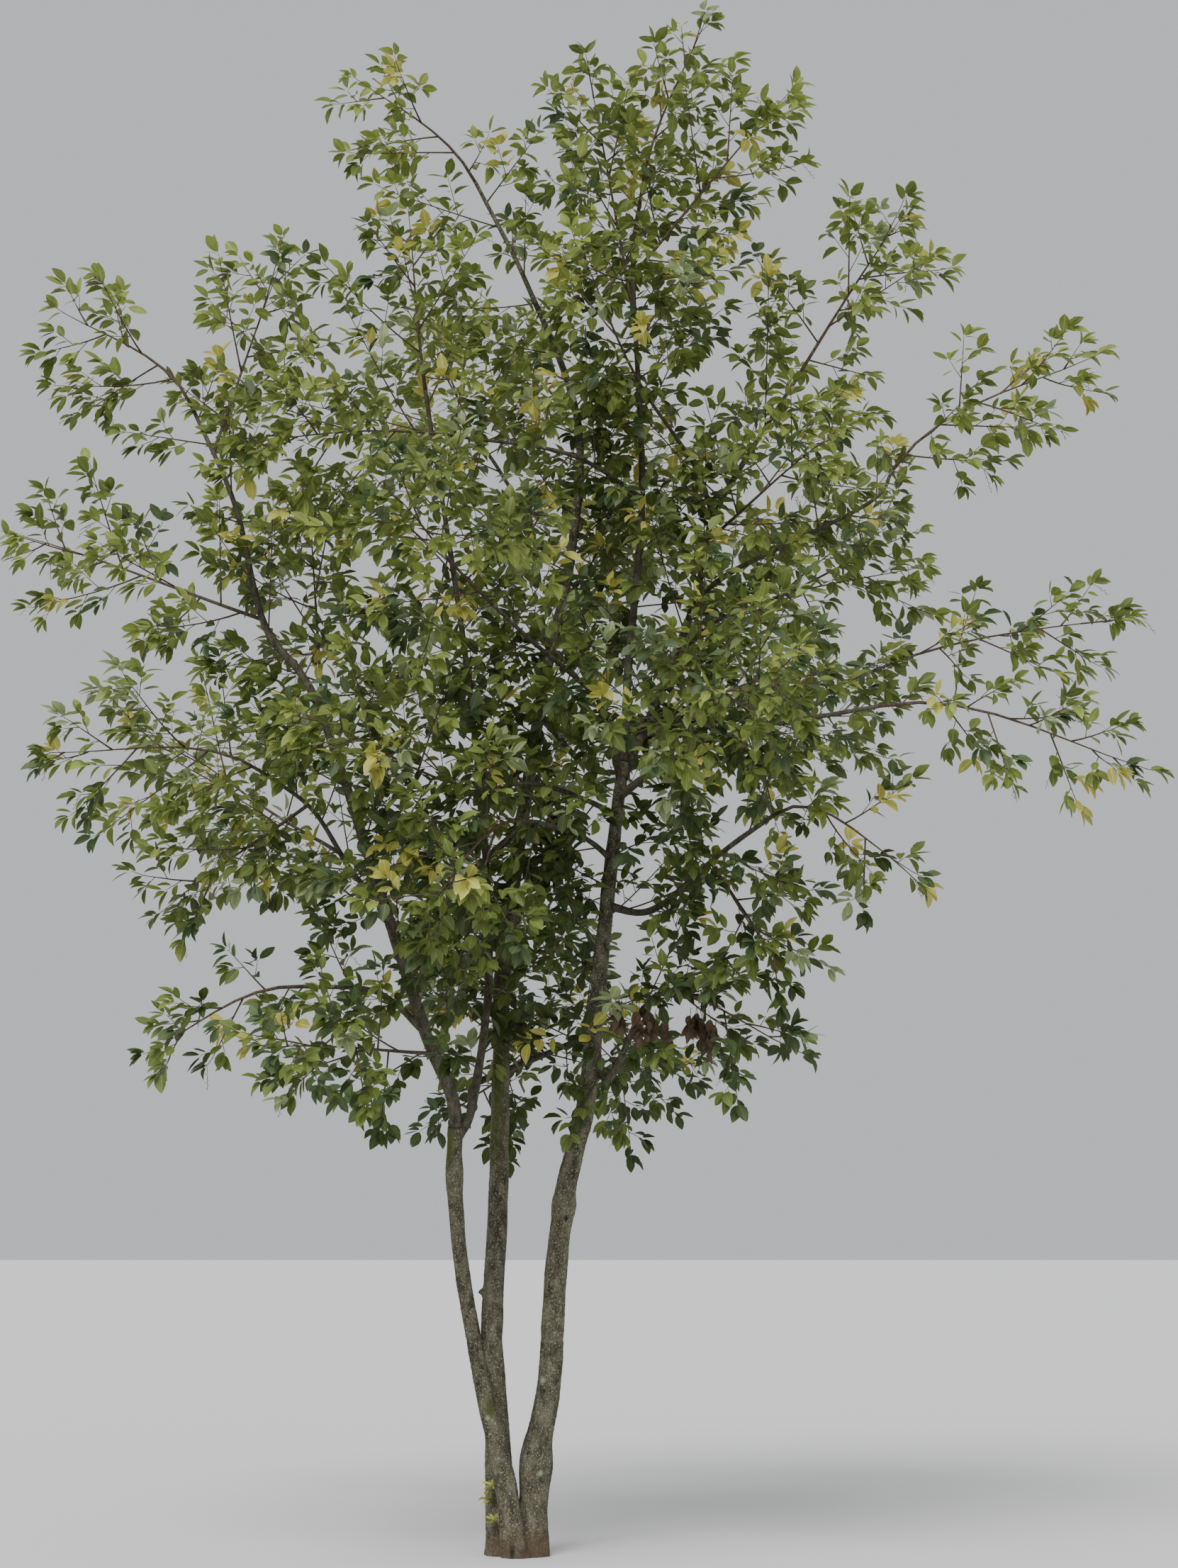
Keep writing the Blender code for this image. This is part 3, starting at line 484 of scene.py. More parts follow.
# bough, parent, the share of the parent's line at which it leaves, its radius at its foot
# and tip, and the points of its line after the first
BOUGHS = (
    ("left_bough", "left_stem", 1.0, (0.030, 0.0085), (
        (-0.41, -0.36, 2.30), (-0.58, -0.47, 2.83), (-0.87, -0.55, 3.69),
        (-1.10, -0.52, 4.03), (-1.24, -0.50, 4.57), (-1.44, -0.45, 5.02))),
    ("left_inner", "left_stem", 0.93, (0.020, 0.009), (
        (-0.19, -0.24, 1.99), (-0.13, -0.07, 2.68), (-0.22, -0.12, 3.80),
        (-0.42, -0.25, 5.14))),
    ("right_leader", "right_stem", 1.0, (0.021, 0.008), (
        (0.49, 0.02, 3.94), (0.555, 0.08, 4.74), (0.514, 0.03, 5.77), (0.55, 0.0, 6.11))),
    ("right_bough", "right_stem", 0.975, (0.022, 0.009), (
        (0.65, 0.08, 3.85), (0.80, 0.15, 4.27), (0.90, 0.22, 4.69), (1.29, 0.30, 5.35))),
    ("back_low", "left_inner", 0.05, (0.018, 0.011), (
        (-0.20, 0.08, 2.05), (-0.07, 0.32, 2.12), (0.28, 0.70, 2.29), (0.38, 0.95, 2.38))),
    ("right_low", "right_stem", 0.55, (0.021, 0.011), (
        (0.40, -0.05, 2.08), (0.55, -0.27, 2.38))),
    ("low_right", "right_stem", 0.77, (0.017, 0.010), (
        (0.60, -0.15, 2.82), (0.90, -0.30, 3.06), (1.12, -0.42, 3.21))),
    ("low_front", "right_stem", 0.845, (0.013, 0.009), (
        (0.285, -0.25, 3.13), (0.09, -0.60, 3.16))),
    ("centre_left", "right_stem", 0.915, (0.013, 0.008), (
        (0.28, -0.19, 3.31), (0.08, -0.40, 3.35), (-0.09, -0.60, 3.31))),
    ("long_right", "right_stem", 0.945, (0.017, 0.009), (
        (0.62, -0.02, 3.46), (0.95, -0.08, 3.61), (1.60, -0.20, 3.72))),
    ("front_left", "right_stem", 0.965, (0.014, 0.008), (
        (0.37, -0.20, 3.72), (0.05, -0.60, 3.96), (-0.10, -0.75, 4.08))),
    ("long_right_upper", "long_right", 0.70, (0.009, 0.007), (
        (1.42, -0.09, 3.82), (1.64, 0.02, 3.93))),
    ("far_right", "right_bough", 0.42, (0.013, 0.008), (
        (0.98, 0.10, 4.39), (1.56, -0.10, 4.65), (1.68, -0.15, 4.80))),
    ("right_mid", "right_bough", 0.28, (0.012, 0.008), (
        (0.90, 0.40, 4.20), (1.15, 0.75, 4.35))),
    ("upper_middle", "right_bough", 0.62, (0.011, 0.008), (
        (0.80, 0.09, 4.86), (0.60, -0.07, 5.12))),
    ("cross_left", "right_leader", 0.47, (0.011, 0.007), (
        (0.22, -0.20, 4.86), (-0.28, -0.48, 4.88))),
    ("left_low", "left_bough", 0.13, (0.014, 0.009), (
        (-0.61, -0.40, 2.44), (-0.92, -0.46, 2.46))),
    ("left_mid", "left_bough", 0.30, (0.013, 0.008), (
        (-0.71, -0.50, 2.95), (-0.875, -0.55, 3.21), (-1.07, -0.60, 3.36))),
    ("back_left", "middle_stem", 0.42, (0.017, 0.009), (
        (-0.45, 0.55, 2.95), (-1.01, 1.00, 3.26))),
    ("back_right", "middle_stem", 0.52, (0.016, 0.009), (
        (0.38, 0.75, 3.54), (0.86, 1.15, 3.76))),
    ("back_top", "middle_stem", 0.72, (0.012, 0.008), (
        (0.05, 0.58, 4.75), (-0.17, 0.85, 5.09))),
)
bough_look = bark("bark_bough", (0.036, 0.032, 0.021), (0.112, 0.100, 0.070), 1.6, 0.4)


def along(line, share):
    """The point and the direction at a share of a line's length."""
    place = share * (len(line) - 1)
    index = min(int(place), len(line) - 2)
    start, end = line[index], line[index + 1]
    return start.lerp(end, place - index), (end - start).normalized()


# A share of a stem's length is counted from where the solid stem starts, above the trunk.
limbs = {}
for stem_name, joint_height, _, _ in STEMS:
    whole, thickness = stem_lines[stem_name]
    above = [index for index, point in enumerate(whole) if point.z >= joint_height]
    limbs[stem_name] = ([whole[index] for index in above],
                        [thickness[index] for index in above])

for bough_name, parent, share, (foot_radius, tip_radius), points in BOUGHS:
    parent_line, _ = limbs[parent]
    start, direction = along(parent_line, share)
    if share == 1.0:
        line = smooth_line([start, *points], BOUGH_RING, direction)
    else:
        line = smooth_line([start, *points], BOUGH_RING)
    last = len(line) - 1
    thickness = []
    for index in range(last + 1):
        run = index * BOUGH_RING
        collar = 0.0 if share == 1.0 else COLLAR * math.exp(-run / COLLAR_LENGTH)
        radius = foot_radius + (tip_radius - foot_radius) * index / last
        thickness.append(radius * (1.0 + collar))
    limbs[bough_name] = (line, thickness)
    sides = STOUT_SIDES if foot_radius > STOUT_BOUGH else SLIM_SIDES
    add_piece(bough_name + "_bark", wrap_limb(line, thickness, sides, bark_relief),
              [bough_look], "bough_bark", bough_name)

# Each mass of foliage is a thin stem that goes on from its bough. Side branches turn round
# it by the golden angle, and leafy twigs round those. They are grey to reddish brown. Where
# a leaf stands is settled here with its twig, and its blade is made in its own section.
GOLDEN_ANGLE = math.radians(137.5)
BRANCH_STEP = 0.105       # between side branches on a mass's stem
TWIG_STEP = 0.076         # between twigs on a side branch
SPUR_STEP = 0.125         # between leafy branches on a bough
LEAF_STEP = 0.027         # between leaves on a twig
ROOM = 0.97               # how far out in the space of its mass a branch may reach
LEAF_SIZE = 0.085         # a leaf is between 0.70 and 1.12 times this long
MASS_STEM_RADIUS = 0.009
BRANCH_RADIUS = 0.0045
SPUR_RADIUS = 0.004
BRANCH_TIP = 0.0016
TWIG_RADII = (0.0022, 0.0012)
SHOOT_RADII = (0.0016, 0.001)
BRANCH_POINTS = 8
TWIG_POINTS = 4
SHORTEST_TWIG = 0.05
END_TWIG = 0.07           # the twig in which a branch ends
LONGEST_BRANCH = 1.2
SHORTEST_BRANCH = 0.06
REACH_STEP = 0.03         # a branch is made longer by this while its mass has room for it
LEAF_ROOM = 0.07          # left free at a branch's end for its last leaves
TOP_ROOM = 0.085          # and at the tip of a mass
NEIGHBOUR_LEAD = 0.25     # a branch stops where it is this much deeper in another mass
MASS_BOW = 0.03           # how far a mass's stem bows up

# mass, limb, the share of the limb's line where it starts, tip, girth, part of the crown
MASSES = (
    ("foliage_crown_top", "right_leader", 1.0, (0.87, 0.0, 7.0), 0.62, "top"),
    ("foliage_top_left", "middle_stem", 1.0, (-0.80, 0.05, 6.72), 0.80, "top"),
    ("foliage_top_right", "right_leader", 0.86, (1.26, -0.35, 6.54), 0.85, "top"),
    ("foliage_top_middle", "right_leader", 0.78, (0.30, 0.45, 6.91), 0.85, "top"),
    ("foliage_shoulder", "right_bough", 1.0, (1.83, 0.40, 6.20), 1.10, "top"),
    ("foliage_far_right", "far_right", 1.0, (2.63, -0.35, 5.31), 0.75, "right"),
    ("foliage_right_upper", "long_right_upper", 1.0, (2.88, 0.25, 4.21), 0.62, "right"),
    ("foliage_long_right", "long_right", 1.0, (2.82, -0.45, 3.39), 0.62, "right"),
    ("foliage_right_mid", "right_mid", 1.0, (1.95, 1.20, 4.80), 1.15, "right"),
    ("foliage_right_core", "right_bough", 0.56, (1.40, -0.80, 4.85), 1.05, "right"),
    ("foliage_low_right", "low_right", 1.0, (1.77, -0.65, 2.91), 0.90, "right"),
    ("foliage_low_drop", "low_right", 0.62, (1.18, -0.80, 2.42), 0.85, "right"),
    ("foliage_right_low", "right_low", 1.0, (1.29, -0.45, 2.16), 0.75, "right"),
    ("foliage_back_low", "back_low", 1.0, (0.65, 1.70, 2.00), 1.00, "back"),
    ("foliage_low_middle", "back_low", 0.55, (-0.42, 0.95, 1.88), 0.78, "back"),
    ("foliage_left_low", "left_low", 1.0, (-1.63, -0.55, 2.15), 0.62, "left"),
    ("foliage_front_low", "left_bough", 0.10, (-1.00, -1.65, 2.15), 0.85, "left"),
    ("foliage_left_mid", "left_mid", 1.0, (-2.05, -0.75, 3.45), 1.10, "left"),
    ("foliage_left_inner_low", "left_mid", 0.72, (-1.63, -0.15, 2.77), 0.85, "left"),
    ("foliage_left_arm", "left_bough", 0.70, (-2.30, -0.30, 4.50), 1.00, "left"),
    ("foliage_left_core", "left_bough", 0.55, (-1.00, 0.45, 4.85), 1.05, "left"),
    ("foliage_left_rise", "left_bough", 1.0, (-2.08, -0.40, 5.50), 0.85, "left"),
    ("foliage_left_top", "left_bough", 0.93, (-1.09, 0.10, 5.87), 0.85, "left"),
    ("foliage_left_spire", "left_inner", 1.0, (-0.50, -0.35, 5.98), 1.00, "top"),
    ("foliage_cross_left", "cross_left", 1.0, (-1.20, -1.05, 4.72), 1.15, "front"),
    ("foliage_upper_middle", "upper_middle", 1.0, (0.22, -0.60, 5.80), 1.25, "front"),
    ("foliage_front_left", "front_left", 1.0, (-0.50, -1.95, 4.36), 1.25, "front"),
    ("foliage_centre_left", "centre_left", 1.0, (-0.90, -1.60, 3.51), 1.20, "front"),
    ("foliage_low_front", "low_front", 1.0, (-0.40, -1.75, 2.62), 1.20, "front"),
    ("foliage_front_right", "right_leader", 0.04, (1.15, -1.90, 3.65), 1.25, "front"),
    ("foliage_low_back", "middle_stem", 0.30, (-0.25, 1.50, 2.75), 1.10, "back"),
    ("foliage_back_left", "back_left", 1.0, (-1.85, 1.75, 3.85), 1.35, "back"),
    ("foliage_back_middle", "middle_stem", 0.62, (0.55, 2.15, 5.00), 1.35, "back"),
    ("foliage_back_right", "back_right", 1.0, (1.80, 2.05, 4.00), 1.30, "back"),
    ("foliage_back_top", "back_top", 1.0, (-0.50, 1.65, 5.95), 1.30, "back"),
)
# leafy branches on the limbs themselves: limb, the shares of its line between which it
# bears them, and the longest
SPURS = (
    ("middle_stem", 0.24, 0.98, 0.62), ("right_stem", 0.50, 1.0, 0.78),
    ("left_bough", 0.12, 0.98, 0.56), ("left_inner", 0.12, 0.98, 0.60),
    ("right_leader", 0.02, 0.98, 0.60), ("right_bough", 0.10, 0.98, 0.72),
    ("back_low", 0.35, 1.0, 0.40), ("low_right", 0.10, 1.0, 0.75),
    ("low_front", 0.2, 1.0, 0.50), ("centre_left", 0.2, 1.0, 0.50),
    ("front_left", 0.2, 1.0, 0.50), ("long_right", 0.10, 0.60, 0.60),
    ("long_right_upper", 0.3, 1.0, 0.20), ("far_right", 0.2, 1.0, 0.35),
    ("right_mid", 0.2, 1.0, 0.45), ("upper_middle", 0.3, 1.0, 0.45),
    ("cross_left", 0.15, 1.0, 0.45), ("left_low", 0.3, 1.0, 0.40),
    ("left_mid", 0.2, 1.0, 0.62), ("back_left", 0.2, 1.0, 0.50),
    ("back_right", 0.2, 1.0, 0.50), ("back_top", 0.2, 1.0, 0.50),
    ("right_low", 0.2, 1.0, 0.55),
)
ZONE_OF_LIMB = {"back_low": "back", "back_left": "back", "back_right": "back",
                "back_top": "back", "low_front": "front", "centre_left": "front",
                "front_left": "front", "cross_left": "front", "middle_stem": "middle",
                "right_stem": "middle", "left_inner": "middle", "right_leader": "middle",
                "left_bough": "left", "left_mid": "left", "left_low": "left"}

Leaf = namedtuple("Leaf", "zone shade root forward face length fold curl")
branches = []             # the points of each, and its radius at its foot and tip
twigs = []                # the same
leaves = []


class Space:
    """The space of one mass: an ellipsoid round the line from its foot to its tip."""

    def __init__(self, foot, reach, girth):
        self.middle = foot.lerp(reach, 0.5)
        self.axis = (reach - foot).normalized()
        self.half_length = (reach - foot).length / 2
        self.half_girth = girth / 2

    def depth(self, point):
        """How far out in the space a point lies: 0 at its middle and 1 on its skin."""
        offset = point - self.middle
        run = offset.dot(self.axis)
        across = (offset - self.axis * run).length
        return math.hypot(run / self.half_length, across / self.half_girth)


def leaning(forward, lean, turn):
    """A direction that leans off another, turned round it."""
    across = forward.orthogonal().normalized()
    across.rotate(Matrix.Rotation(turn, 3, forward))
    return forward * math.cos(lean) + across * math.sin(lean)


def bent(foot, direction, length, rise, count):
    """Points on a shoot that leaves its foot in a direction, and rises or, below 0, droops."""
    end = foot + direction * length + Vector((0, 0, rise * length))
    return interpolate_bezier(foot, foot + direction * length * 0.4,
                              foot.lerp(end, 0.7) + direction * length * 0.05, end, count)


# Painted light and shade: a spray gets more sun the higher and further out in the crown it
# stands, and the more sun, the lighter its leaves, from the darkest green through bluish and
# green to the lightest.
CROWN_FOOT = 1.7
CROWN_HEIGHT = 5.3
CROWN_MIDDLE = 0.2
CROWN_HALF_WIDTH = 2.2
SUN_FROM_HEIGHT = 0.60
SUN_FROM_OUTSIDE = 0.32
FRESH_SUN = 0.62          # a spray with more sun than this has fresh leaves
GREEN_SUN = 0.36
BLUISH_SUN = 0.16


def spray_light_and_shade(place, rng):
    """The leaf colour of one spray: fresher high and outside, deeper low and inside, as
    painted sunlight and shade.
    """
    height = (place.z - CROWN_FOOT) / CROWN_HEIGHT
    outside = math.hypot(place.x - CROWN_MIDDLE, place.y) / CROWN_HALF_WIDTH
    sun = SUN_FROM_HEIGHT * height + SUN_FROM_OUTSIDE * min(outside, 1.0)
    sun += rng.uniform(-0.32, 0.30)
    if rng.random() < 0.030 + 0.035 * height:
        return "yellow"
    if rng.random() < 0.05:
        return "pale"
    if sun > FRESH_SUN:
        return "fresh_and_sunlit"
    if sun > GREEN_SUN:
        return "green"
    if sun > BLUISH_SUN:
        return "bluish" if rng.random() < 0.55 else "green"
    return "painted_shade"


def add_leaf(zone, shade, root, forward, rng, size):
    """A leaf on its stalk, which turns its face to the light and hangs a little."""
    hang = 0.10 + 0.35 * rng.random()
    outward = Vector((root.x - CROWN_MIDDLE, root.y, 0.0)) * 0.25
    direction = (forward + Vector((0, 0, -hang)) + outward).normalized()
    face = Vector((rng.gauss(0, 0.45), rng.gauss(0, 0.45) - 0.15, 1.0)) + outward * 0.8
    length = size * rng.uniform(0.70, 1.12)
    fold = rng.uniform(0.10, 0.60)
    curl = rng.uniform(-0.05, 0.32)
    leaves.append(Leaf(zone, shade, root, direction, face, length, fold, curl))


def grow_twig(zone, foot, direction, length, rng, size):
    """A leafy twig: leaves turn round it, and a rosette stands at its tip."""
    rise = rng.uniform(-0.05, 0.22)
    line = bent(foot, direction, length, rise, TWIG_POINTS)
    twigs.append((line, *TWIG_RADII))
    shade = spray_light_and_shade(line[-1], rng)
    count = max(2, int(length / LEAF_STEP))
    for number in range(count):
        share = 0.22 + 0.74 * number / count
        root, forward = along(line, share)
        turn = number * GOLDEN_ANGLE + rng.uniform(-0.4, 0.4)
        add_leaf(zone, shade, root, leaning(forward, math.radians(58), turn), rng, size)
    end, forward = along(line, 1.0)
    start_turn = rng.uniform(0, 6.28)
    rosette = rng.randint(3, 5)
    for number in range(rosette):
        lean = math.radians(rng.uniform(20, 62))
        turn = start_turn + number * 2 * math.pi / rosette
        add_leaf(zone, shade, end, leaning(forward, lean, turn), rng, size)


def grow_branch(zone, foot, direction, length, radius, rng, size):
    """A side branch with twigs along it, longest near its foot."""
    rise = rng.uniform(-0.10, 0.20)
    line = bent(foot, direction, length, rise, BRANCH_POINTS)
    branches.append((line, radius, BRANCH_TIP))
    count = max(1, round(length / TWIG_STEP))
    for number in range(count):
        share = 0.16 + 0.80 * (number + 0.5) / count
        start, forward = along(line, share)
        turn = number * GOLDEN_ANGLE + rng.uniform(-0.4, 0.4)
        lean = math.radians(rng.uniform(38, 62))
        twig_length = (0.05 + 0.30 * (1.0 - share) * min(length, 0.6)) * rng.uniform(0.7, 1.3)
        grow_twig(zone, start, leaning(forward, lean, turn), max(twig_length, SHORTEST_TWIG),
                  rng, size)
    end, forward = along(line, 1.0)
    grow_twig(zone, end, forward, END_TWIG, rng, size)


spaces = {}
stems_of_masses = {}
for mass_name, limb_name, share, reach, girth, zone in MASSES:
    line, _ = limbs[limb_name]
    foot, forward = along(line, share)
    spaces[mass_name] = Space(foot, Vector(reach), girth)
    if share < 1.0:
        forward = (Vector(reach) - foot).normalized()
    stems_of_masses[mass_name] = (foot, forward)

for mass_name, limb_name, share, reach, girth, zone in MASSES:
    rng = random.Random(mass_name)
    reach = Vector(reach)
    foot, forward = stems_of_masses[mass_name]
    span = (reach - foot).length
    tip = foot.lerp(reach, 1.0 - TOP_ROOM / span)
    line = interpolate_bezier(foot, foot + forward * span / 3,
                              foot.lerp(tip, 2 / 3) + Vector((0, 0, MASS_BOW)), tip,
                              BRANCH_POINTS)
    limb_tip_radius = limbs[limb_name][1][-1] if share == 1.0 else MASS_STEM_RADIUS
    branches.append((line, min(limb_tip_radius, MASS_STEM_RADIUS), BRANCH_TIP))
    end, forward = along(line, 1.0)
    grow_twig(zone, end, forward, SHORTEST_TWIG, rng, LEAF_SIZE * 0.9)
    space = spaces[mass_name]
    others = [other for name, other in spaces.items() if name != mass_name]
    count = max(6, round(span / BRANCH_STEP))
    for number in range(count):
        part = 0.08 + 0.88 * number / (count - 1)
        start, forward = along(line, part)
        lean = math.radians(64 - 26 * part + rng.uniform(-8, 8))
        direction = leaning(forward, lean, number * GOLDEN_ANGLE + rng.uniform(-0.3, 0.3))
        length = 0.0
        while length < LONGEST_BRANCH:
            point = start + direction * (length + REACH_STEP)
            depth = space.depth(point)
            if depth > ROOM or any(other.depth(point) < depth - NEIGHBOUR_LEAD
                                   for other in others):
                break
            length += REACH_STEP
        length = (length - LEAF_ROOM) * rng.uniform(0.85, 1.0)
        if length > SHORTEST_BRANCH:
            grow_branch(zone, start, direction, length, BRANCH_RADIUS, rng, LEAF_SIZE)

for limb_name, first, last, longest in SPURS:
    rng = random.Random(limb_name)
    line, _ = limbs[limb_name]
    zone = ZONE_OF_LIMB.get(limb_name, "right")
    length_of_limb = sum((b - a).length for a, b in zip(line, line[1:]))
    count = max(2, round(length_of_limb * (last - first) / SPUR_STEP))
    for number in range(count):
        part = first + (last - first) * number / (count - 1)
        start, forward = along(line, part)
        lean = math.radians(rng.uniform(48, 78))
        direction = leaning(forward, lean, number * GOLDEN_ANGLE + rng.uniform(-0.5, 0.5))
        length = longest * rng.uniform(0.30, 1.0)
        grow_branch(zone, start, direction, length, SPUR_RADIUS, rng, LEAF_SIZE)

# A broken shoot has withered on the lowest right bough: its brown leaves hang in a clump.
WITHERED_TWIGS = 15
WITHERED_LEAVES = 6       # on each twig
WITHERED_LEAF = 0.065
rng = random.Random(3)
for number in range(WITHERED_TWIGS):
    foot = Vector((0.42 + 0.42 * rng.random(), -0.34 + 0.12 * rng.random(),
                   2.46 - 0.10 * rng.random()))
    line = bent(foot, Vector((rng.uniform(-0.3, 0.3), -0.2, -1.0)).normalized(),
                rng.uniform(0.06, 0.20), -0.1, TWIG_POINTS)
    twigs.append((line, *SHOOT_RADII))
    for leaf_number in range(WITHERED_LEAVES):
        root, forward = along(line, 0.3 + 0.7 * leaf_number / WITHERED_LEAVES)
        hanging = (leaning(forward, math.radians(35), leaf_number * GOLDEN_ANGLE)
                   + Vector((0, 0, -0.8))).normalized()
        face = Vector((rng.gauss(0, 1), -1.0, 0.2))
        length = WITHERED_LEAF * rng.uniform(0.7, 1.1)
        leaves.append(Leaf("right", "withered", root, hanging, face, length, 0.9, 0.5))

# Fresh shoots stand low on the bark at the stool's left foot: foot, direction and length.
SHOOTS = (
    ((-0.095, -0.045, 0.27), (-0.6, -0.5, 0.8), 0.045),
    ((-0.105, -0.030, 0.23), (-0.8, -0.4, 0.5), 0.040),
    ((-0.090, -0.055, 0.14), (-0.5, -0.8, 0.6), 0.030),
)
SHOOT_LEAVES = 7
SHOOT_LEAF = 0.036
for foot, direction, length in SHOOTS:
    line = bent(Vector(foot), Vector(direction).normalized(), length, 0.2, TWIG_POINTS)
    twigs.append((line, *SHOOT_RADII))
    for leaf_number in range(SHOOT_LEAVES):
        root, forward = along(line, 0.4 + 0.6 * leaf_number / (SHOOT_LEAVES - 1))
        outward = leaning(forward, math.radians(50), leaf_number * GOLDEN_ANGLE)
        shade = "fresh_and_sunlit" if leaf_number % 3 else "yellow"
        leaves.append(Leaf("middle", shade, root, outward, Vector((0, -0.5, 1)),
                           SHOOT_LEAF * rng.uniform(0.7, 1.2), 0.4, 0.2))


def tubes(shoots, sides):
    """Corners and faces of many thin closed tubes, all with the same number of points."""
    lines = np.array([[tuple(point) for point in line] for line, _, _ in shoots])
    count, points, _ = lines.shape
    share = np.linspace(0.0, 1.0, points)
    foot = np.array([radius for _, radius, _ in shoots])[:, None]
    tip = np.array([radius for _, _, radius in shoots])[:, None]
    radii = foot + (tip - foot) * share
    forward = np.gradient(lines, axis=1)
    forward /= np.linalg.norm(forward, axis=2, keepdims=True)
    helper = np.where(np.abs(forward[:, :1, 2:3]) > 0.9, [[[1.0, 0, 0]]], [[[0, 0, 1.0]]])
    side = np.cross(forward, np.broadcast_to(helper, forward.shape))
    side /= np.linalg.norm(side, axis=2, keepdims=True)
    out = np.cross(side, forward)
    turn = np.arange(sides) * 2 * np.pi / sides
    ring = (side[:, :, None] * np.cos(turn)[:, None] + out[:, :, None] * np.sin(turn)[:, None])
    skin = lines[:, :, None] + ring * radii[:, :, None, None]
    corners = np.concatenate([skin.reshape(count, -1, 3), lines[:, :1], lines[:, -1:]], axis=1)
    faces = []
    for step in range(points - 1):
        for edge in range(sides):
            after = (edge + 1) % sides
            low, high = step * sides, (step + 1) * sides
            faces.append((low + edge, low + after, high + after, high + edge))
    foot_point, tip_point = points * sides, points * sides + 1
    high = (points - 1) * sides
    for edge in range(sides):
        after = (edge + 1) % sides
        faces.append((foot_point, after, edge))
        faces.append((tip_point, high + edge, high + after))
    return corners, faces


def joined(name, corners, faces, materials, shades=None, flat_map=None):
    """One mesh object from many like pieces: (pieces, corners, 3) and one piece's faces."""
    pieces, size, _ = corners.shape
    loops = np.concatenate([np.array(face) for face in faces])
    sizes = np.array([len(face) for face in faces])
    index = (loops[None] + np.arange(pieces)[:, None] * size).ravel()
    starts = np.concatenate([[0], np.cumsum(np.tile(sizes, pieces))[:-1]])
    mesh = bpy.data.meshes.new(name)
    mesh.vertices.add(pieces * size)
    mesh.vertices.foreach_set("co", corners.astype(np.float32).ravel())
    mesh.loops.add(len(index))
    mesh.loops.foreach_set("vertex_index", index.astype(np.int32))
    mesh.polygons.add(len(starts))
    mesh.polygons.foreach_set("loop_start", starts.astype(np.int32))
    for look in materials:
        mesh.materials.append(look)
    if shades is not None:
        mesh.polygons.foreach_set("material_index",
                                  np.repeat(shades, len(faces)).astype(np.int32))
    mesh.update(calc_edges=True)
    if flat_map is not None:
        layer = mesh.uv_layers.new(name="blade")
        layer.data.foreach_set("uv", np.tile(flat_map[loops], (pieces, 1))
                               .astype(np.float32).ravel())
    mesh.shade_smooth()
    made = bpy.data.objects.new(name, mesh)
    bpy.context.scene.collection.objects.link(made)
    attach(made, "root")
    return made


BRANCH_SIDES = 5
TWIG_SIDES = 3
twig_look = bark("bark_twig", (0.070, 0.048, 0.032), (0.150, 0.110, 0.078), 3.0, 0.2)
foliage_nodes = [mass[0] for mass in MASSES]
branch_piece = joined("side_branches", *tubes(branches, BRANCH_SIDES), [twig_look])
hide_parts(*foliage_nodes)
twig_piece = joined("twigs", *tubes(twigs, TWIG_SIDES), [twig_look])
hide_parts(*foliage_nodes)

# What is left of the flowers: thin reddish stalks that hang or stand at the twigs' tips,
# each with its short side stalks where the fruit has dropped.
RACEME_EVERY = 5          # twigs to one spent raceme
RACEME_LENGTH = 0.095
RACEME_RADII = (0.0013, 0.0008)
SIDE_STALKS = 6
SIDE_STALK_LENGTH = 0.012
SIDE_STALK_RADII = (0.0009, 0.0012)
racemes = []
rng = random.Random(7)
for line, _, _ in twigs[::RACEME_EVERY]:
    foot, forward = along(line, rng.uniform(0.5, 1.0))
    direction = (leaning(forward, math.radians(45), rng.uniform(0, 6.28))
                 + Vector((0, 0, -0.4))).normalized()
    stalk = bent(foot, direction, RACEME_LENGTH * rng.uniform(0.6, 1.1), -0.25, TWIG_POINTS)
    racemes.append((stalk, *RACEME_RADII))
    for number in range(SIDE_STALKS):
        start, onward = along(stalk, 0.30 + 0.68 * number / SIDE_STALKS)
        side = leaning(onward, math.radians(60), number * GOLDEN_ANGLE)
        racemes.append((bent(start, side, SIDE_STALK_LENGTH, 0.0, TWIG_POINTS),
                        *SIDE_STALK_RADII))
raceme_look = bark("spent_raceme", (0.120, 0.060, 0.032), (0.250, 0.140, 0.078), 3.0, 0.1)
raceme_piece = joined("spent_racemes", *tubes(racemes, TWIG_SIDES), [raceme_look])
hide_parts(*foliage_nodes)

# A leaf is a thin blade on a short stalk, oval to a short point, folded up along its midrib
# and bent back at the tip. Its colour goes by spray, with painted sunlight and shade, and its
# midrib follows its own map.
# The lightest and the darkest greens are painted sunlight and painted shade; the lightest is
# also the young shoots' own colour.
SHADES = {
    "green": (0.135, 0.175, 0.038),
    "fresh_and_sunlit": (0.230, 0.280, 0.064),
    "painted_shade": (0.050, 0.074, 0.017),
    "bluish": (0.085, 0.125, 0.048),
    "pale": (0.275, 0.330, 0.160),
    "yellow": (0.440, 0.420, 0.095),
    "withered": (0.120, 0.078, 0.045),
}
# how far along the blade each section lies, and its half width, both in leaf lengths
SECTIONS = ((0.16, 0.17), (0.38, 0.265), (0.64, 0.255), (0.86, 0.125))
STALK = 0.14              # of a leaf's length
STALK_WIDTH = 0.012
LEAF_TONES = ((0.32, 0.72), (0.50, 1.0), (0.70, 1.38))   # mottle, times the leaf's colour
RIB = 0.035               # half the width of the pale midrib on the blade's map
RIB_SHARE = 0.55
RIB_LIGHTNESS = 1.9
LIT_THROUGH = 0.33        # the share of light that a blade takes from its other side


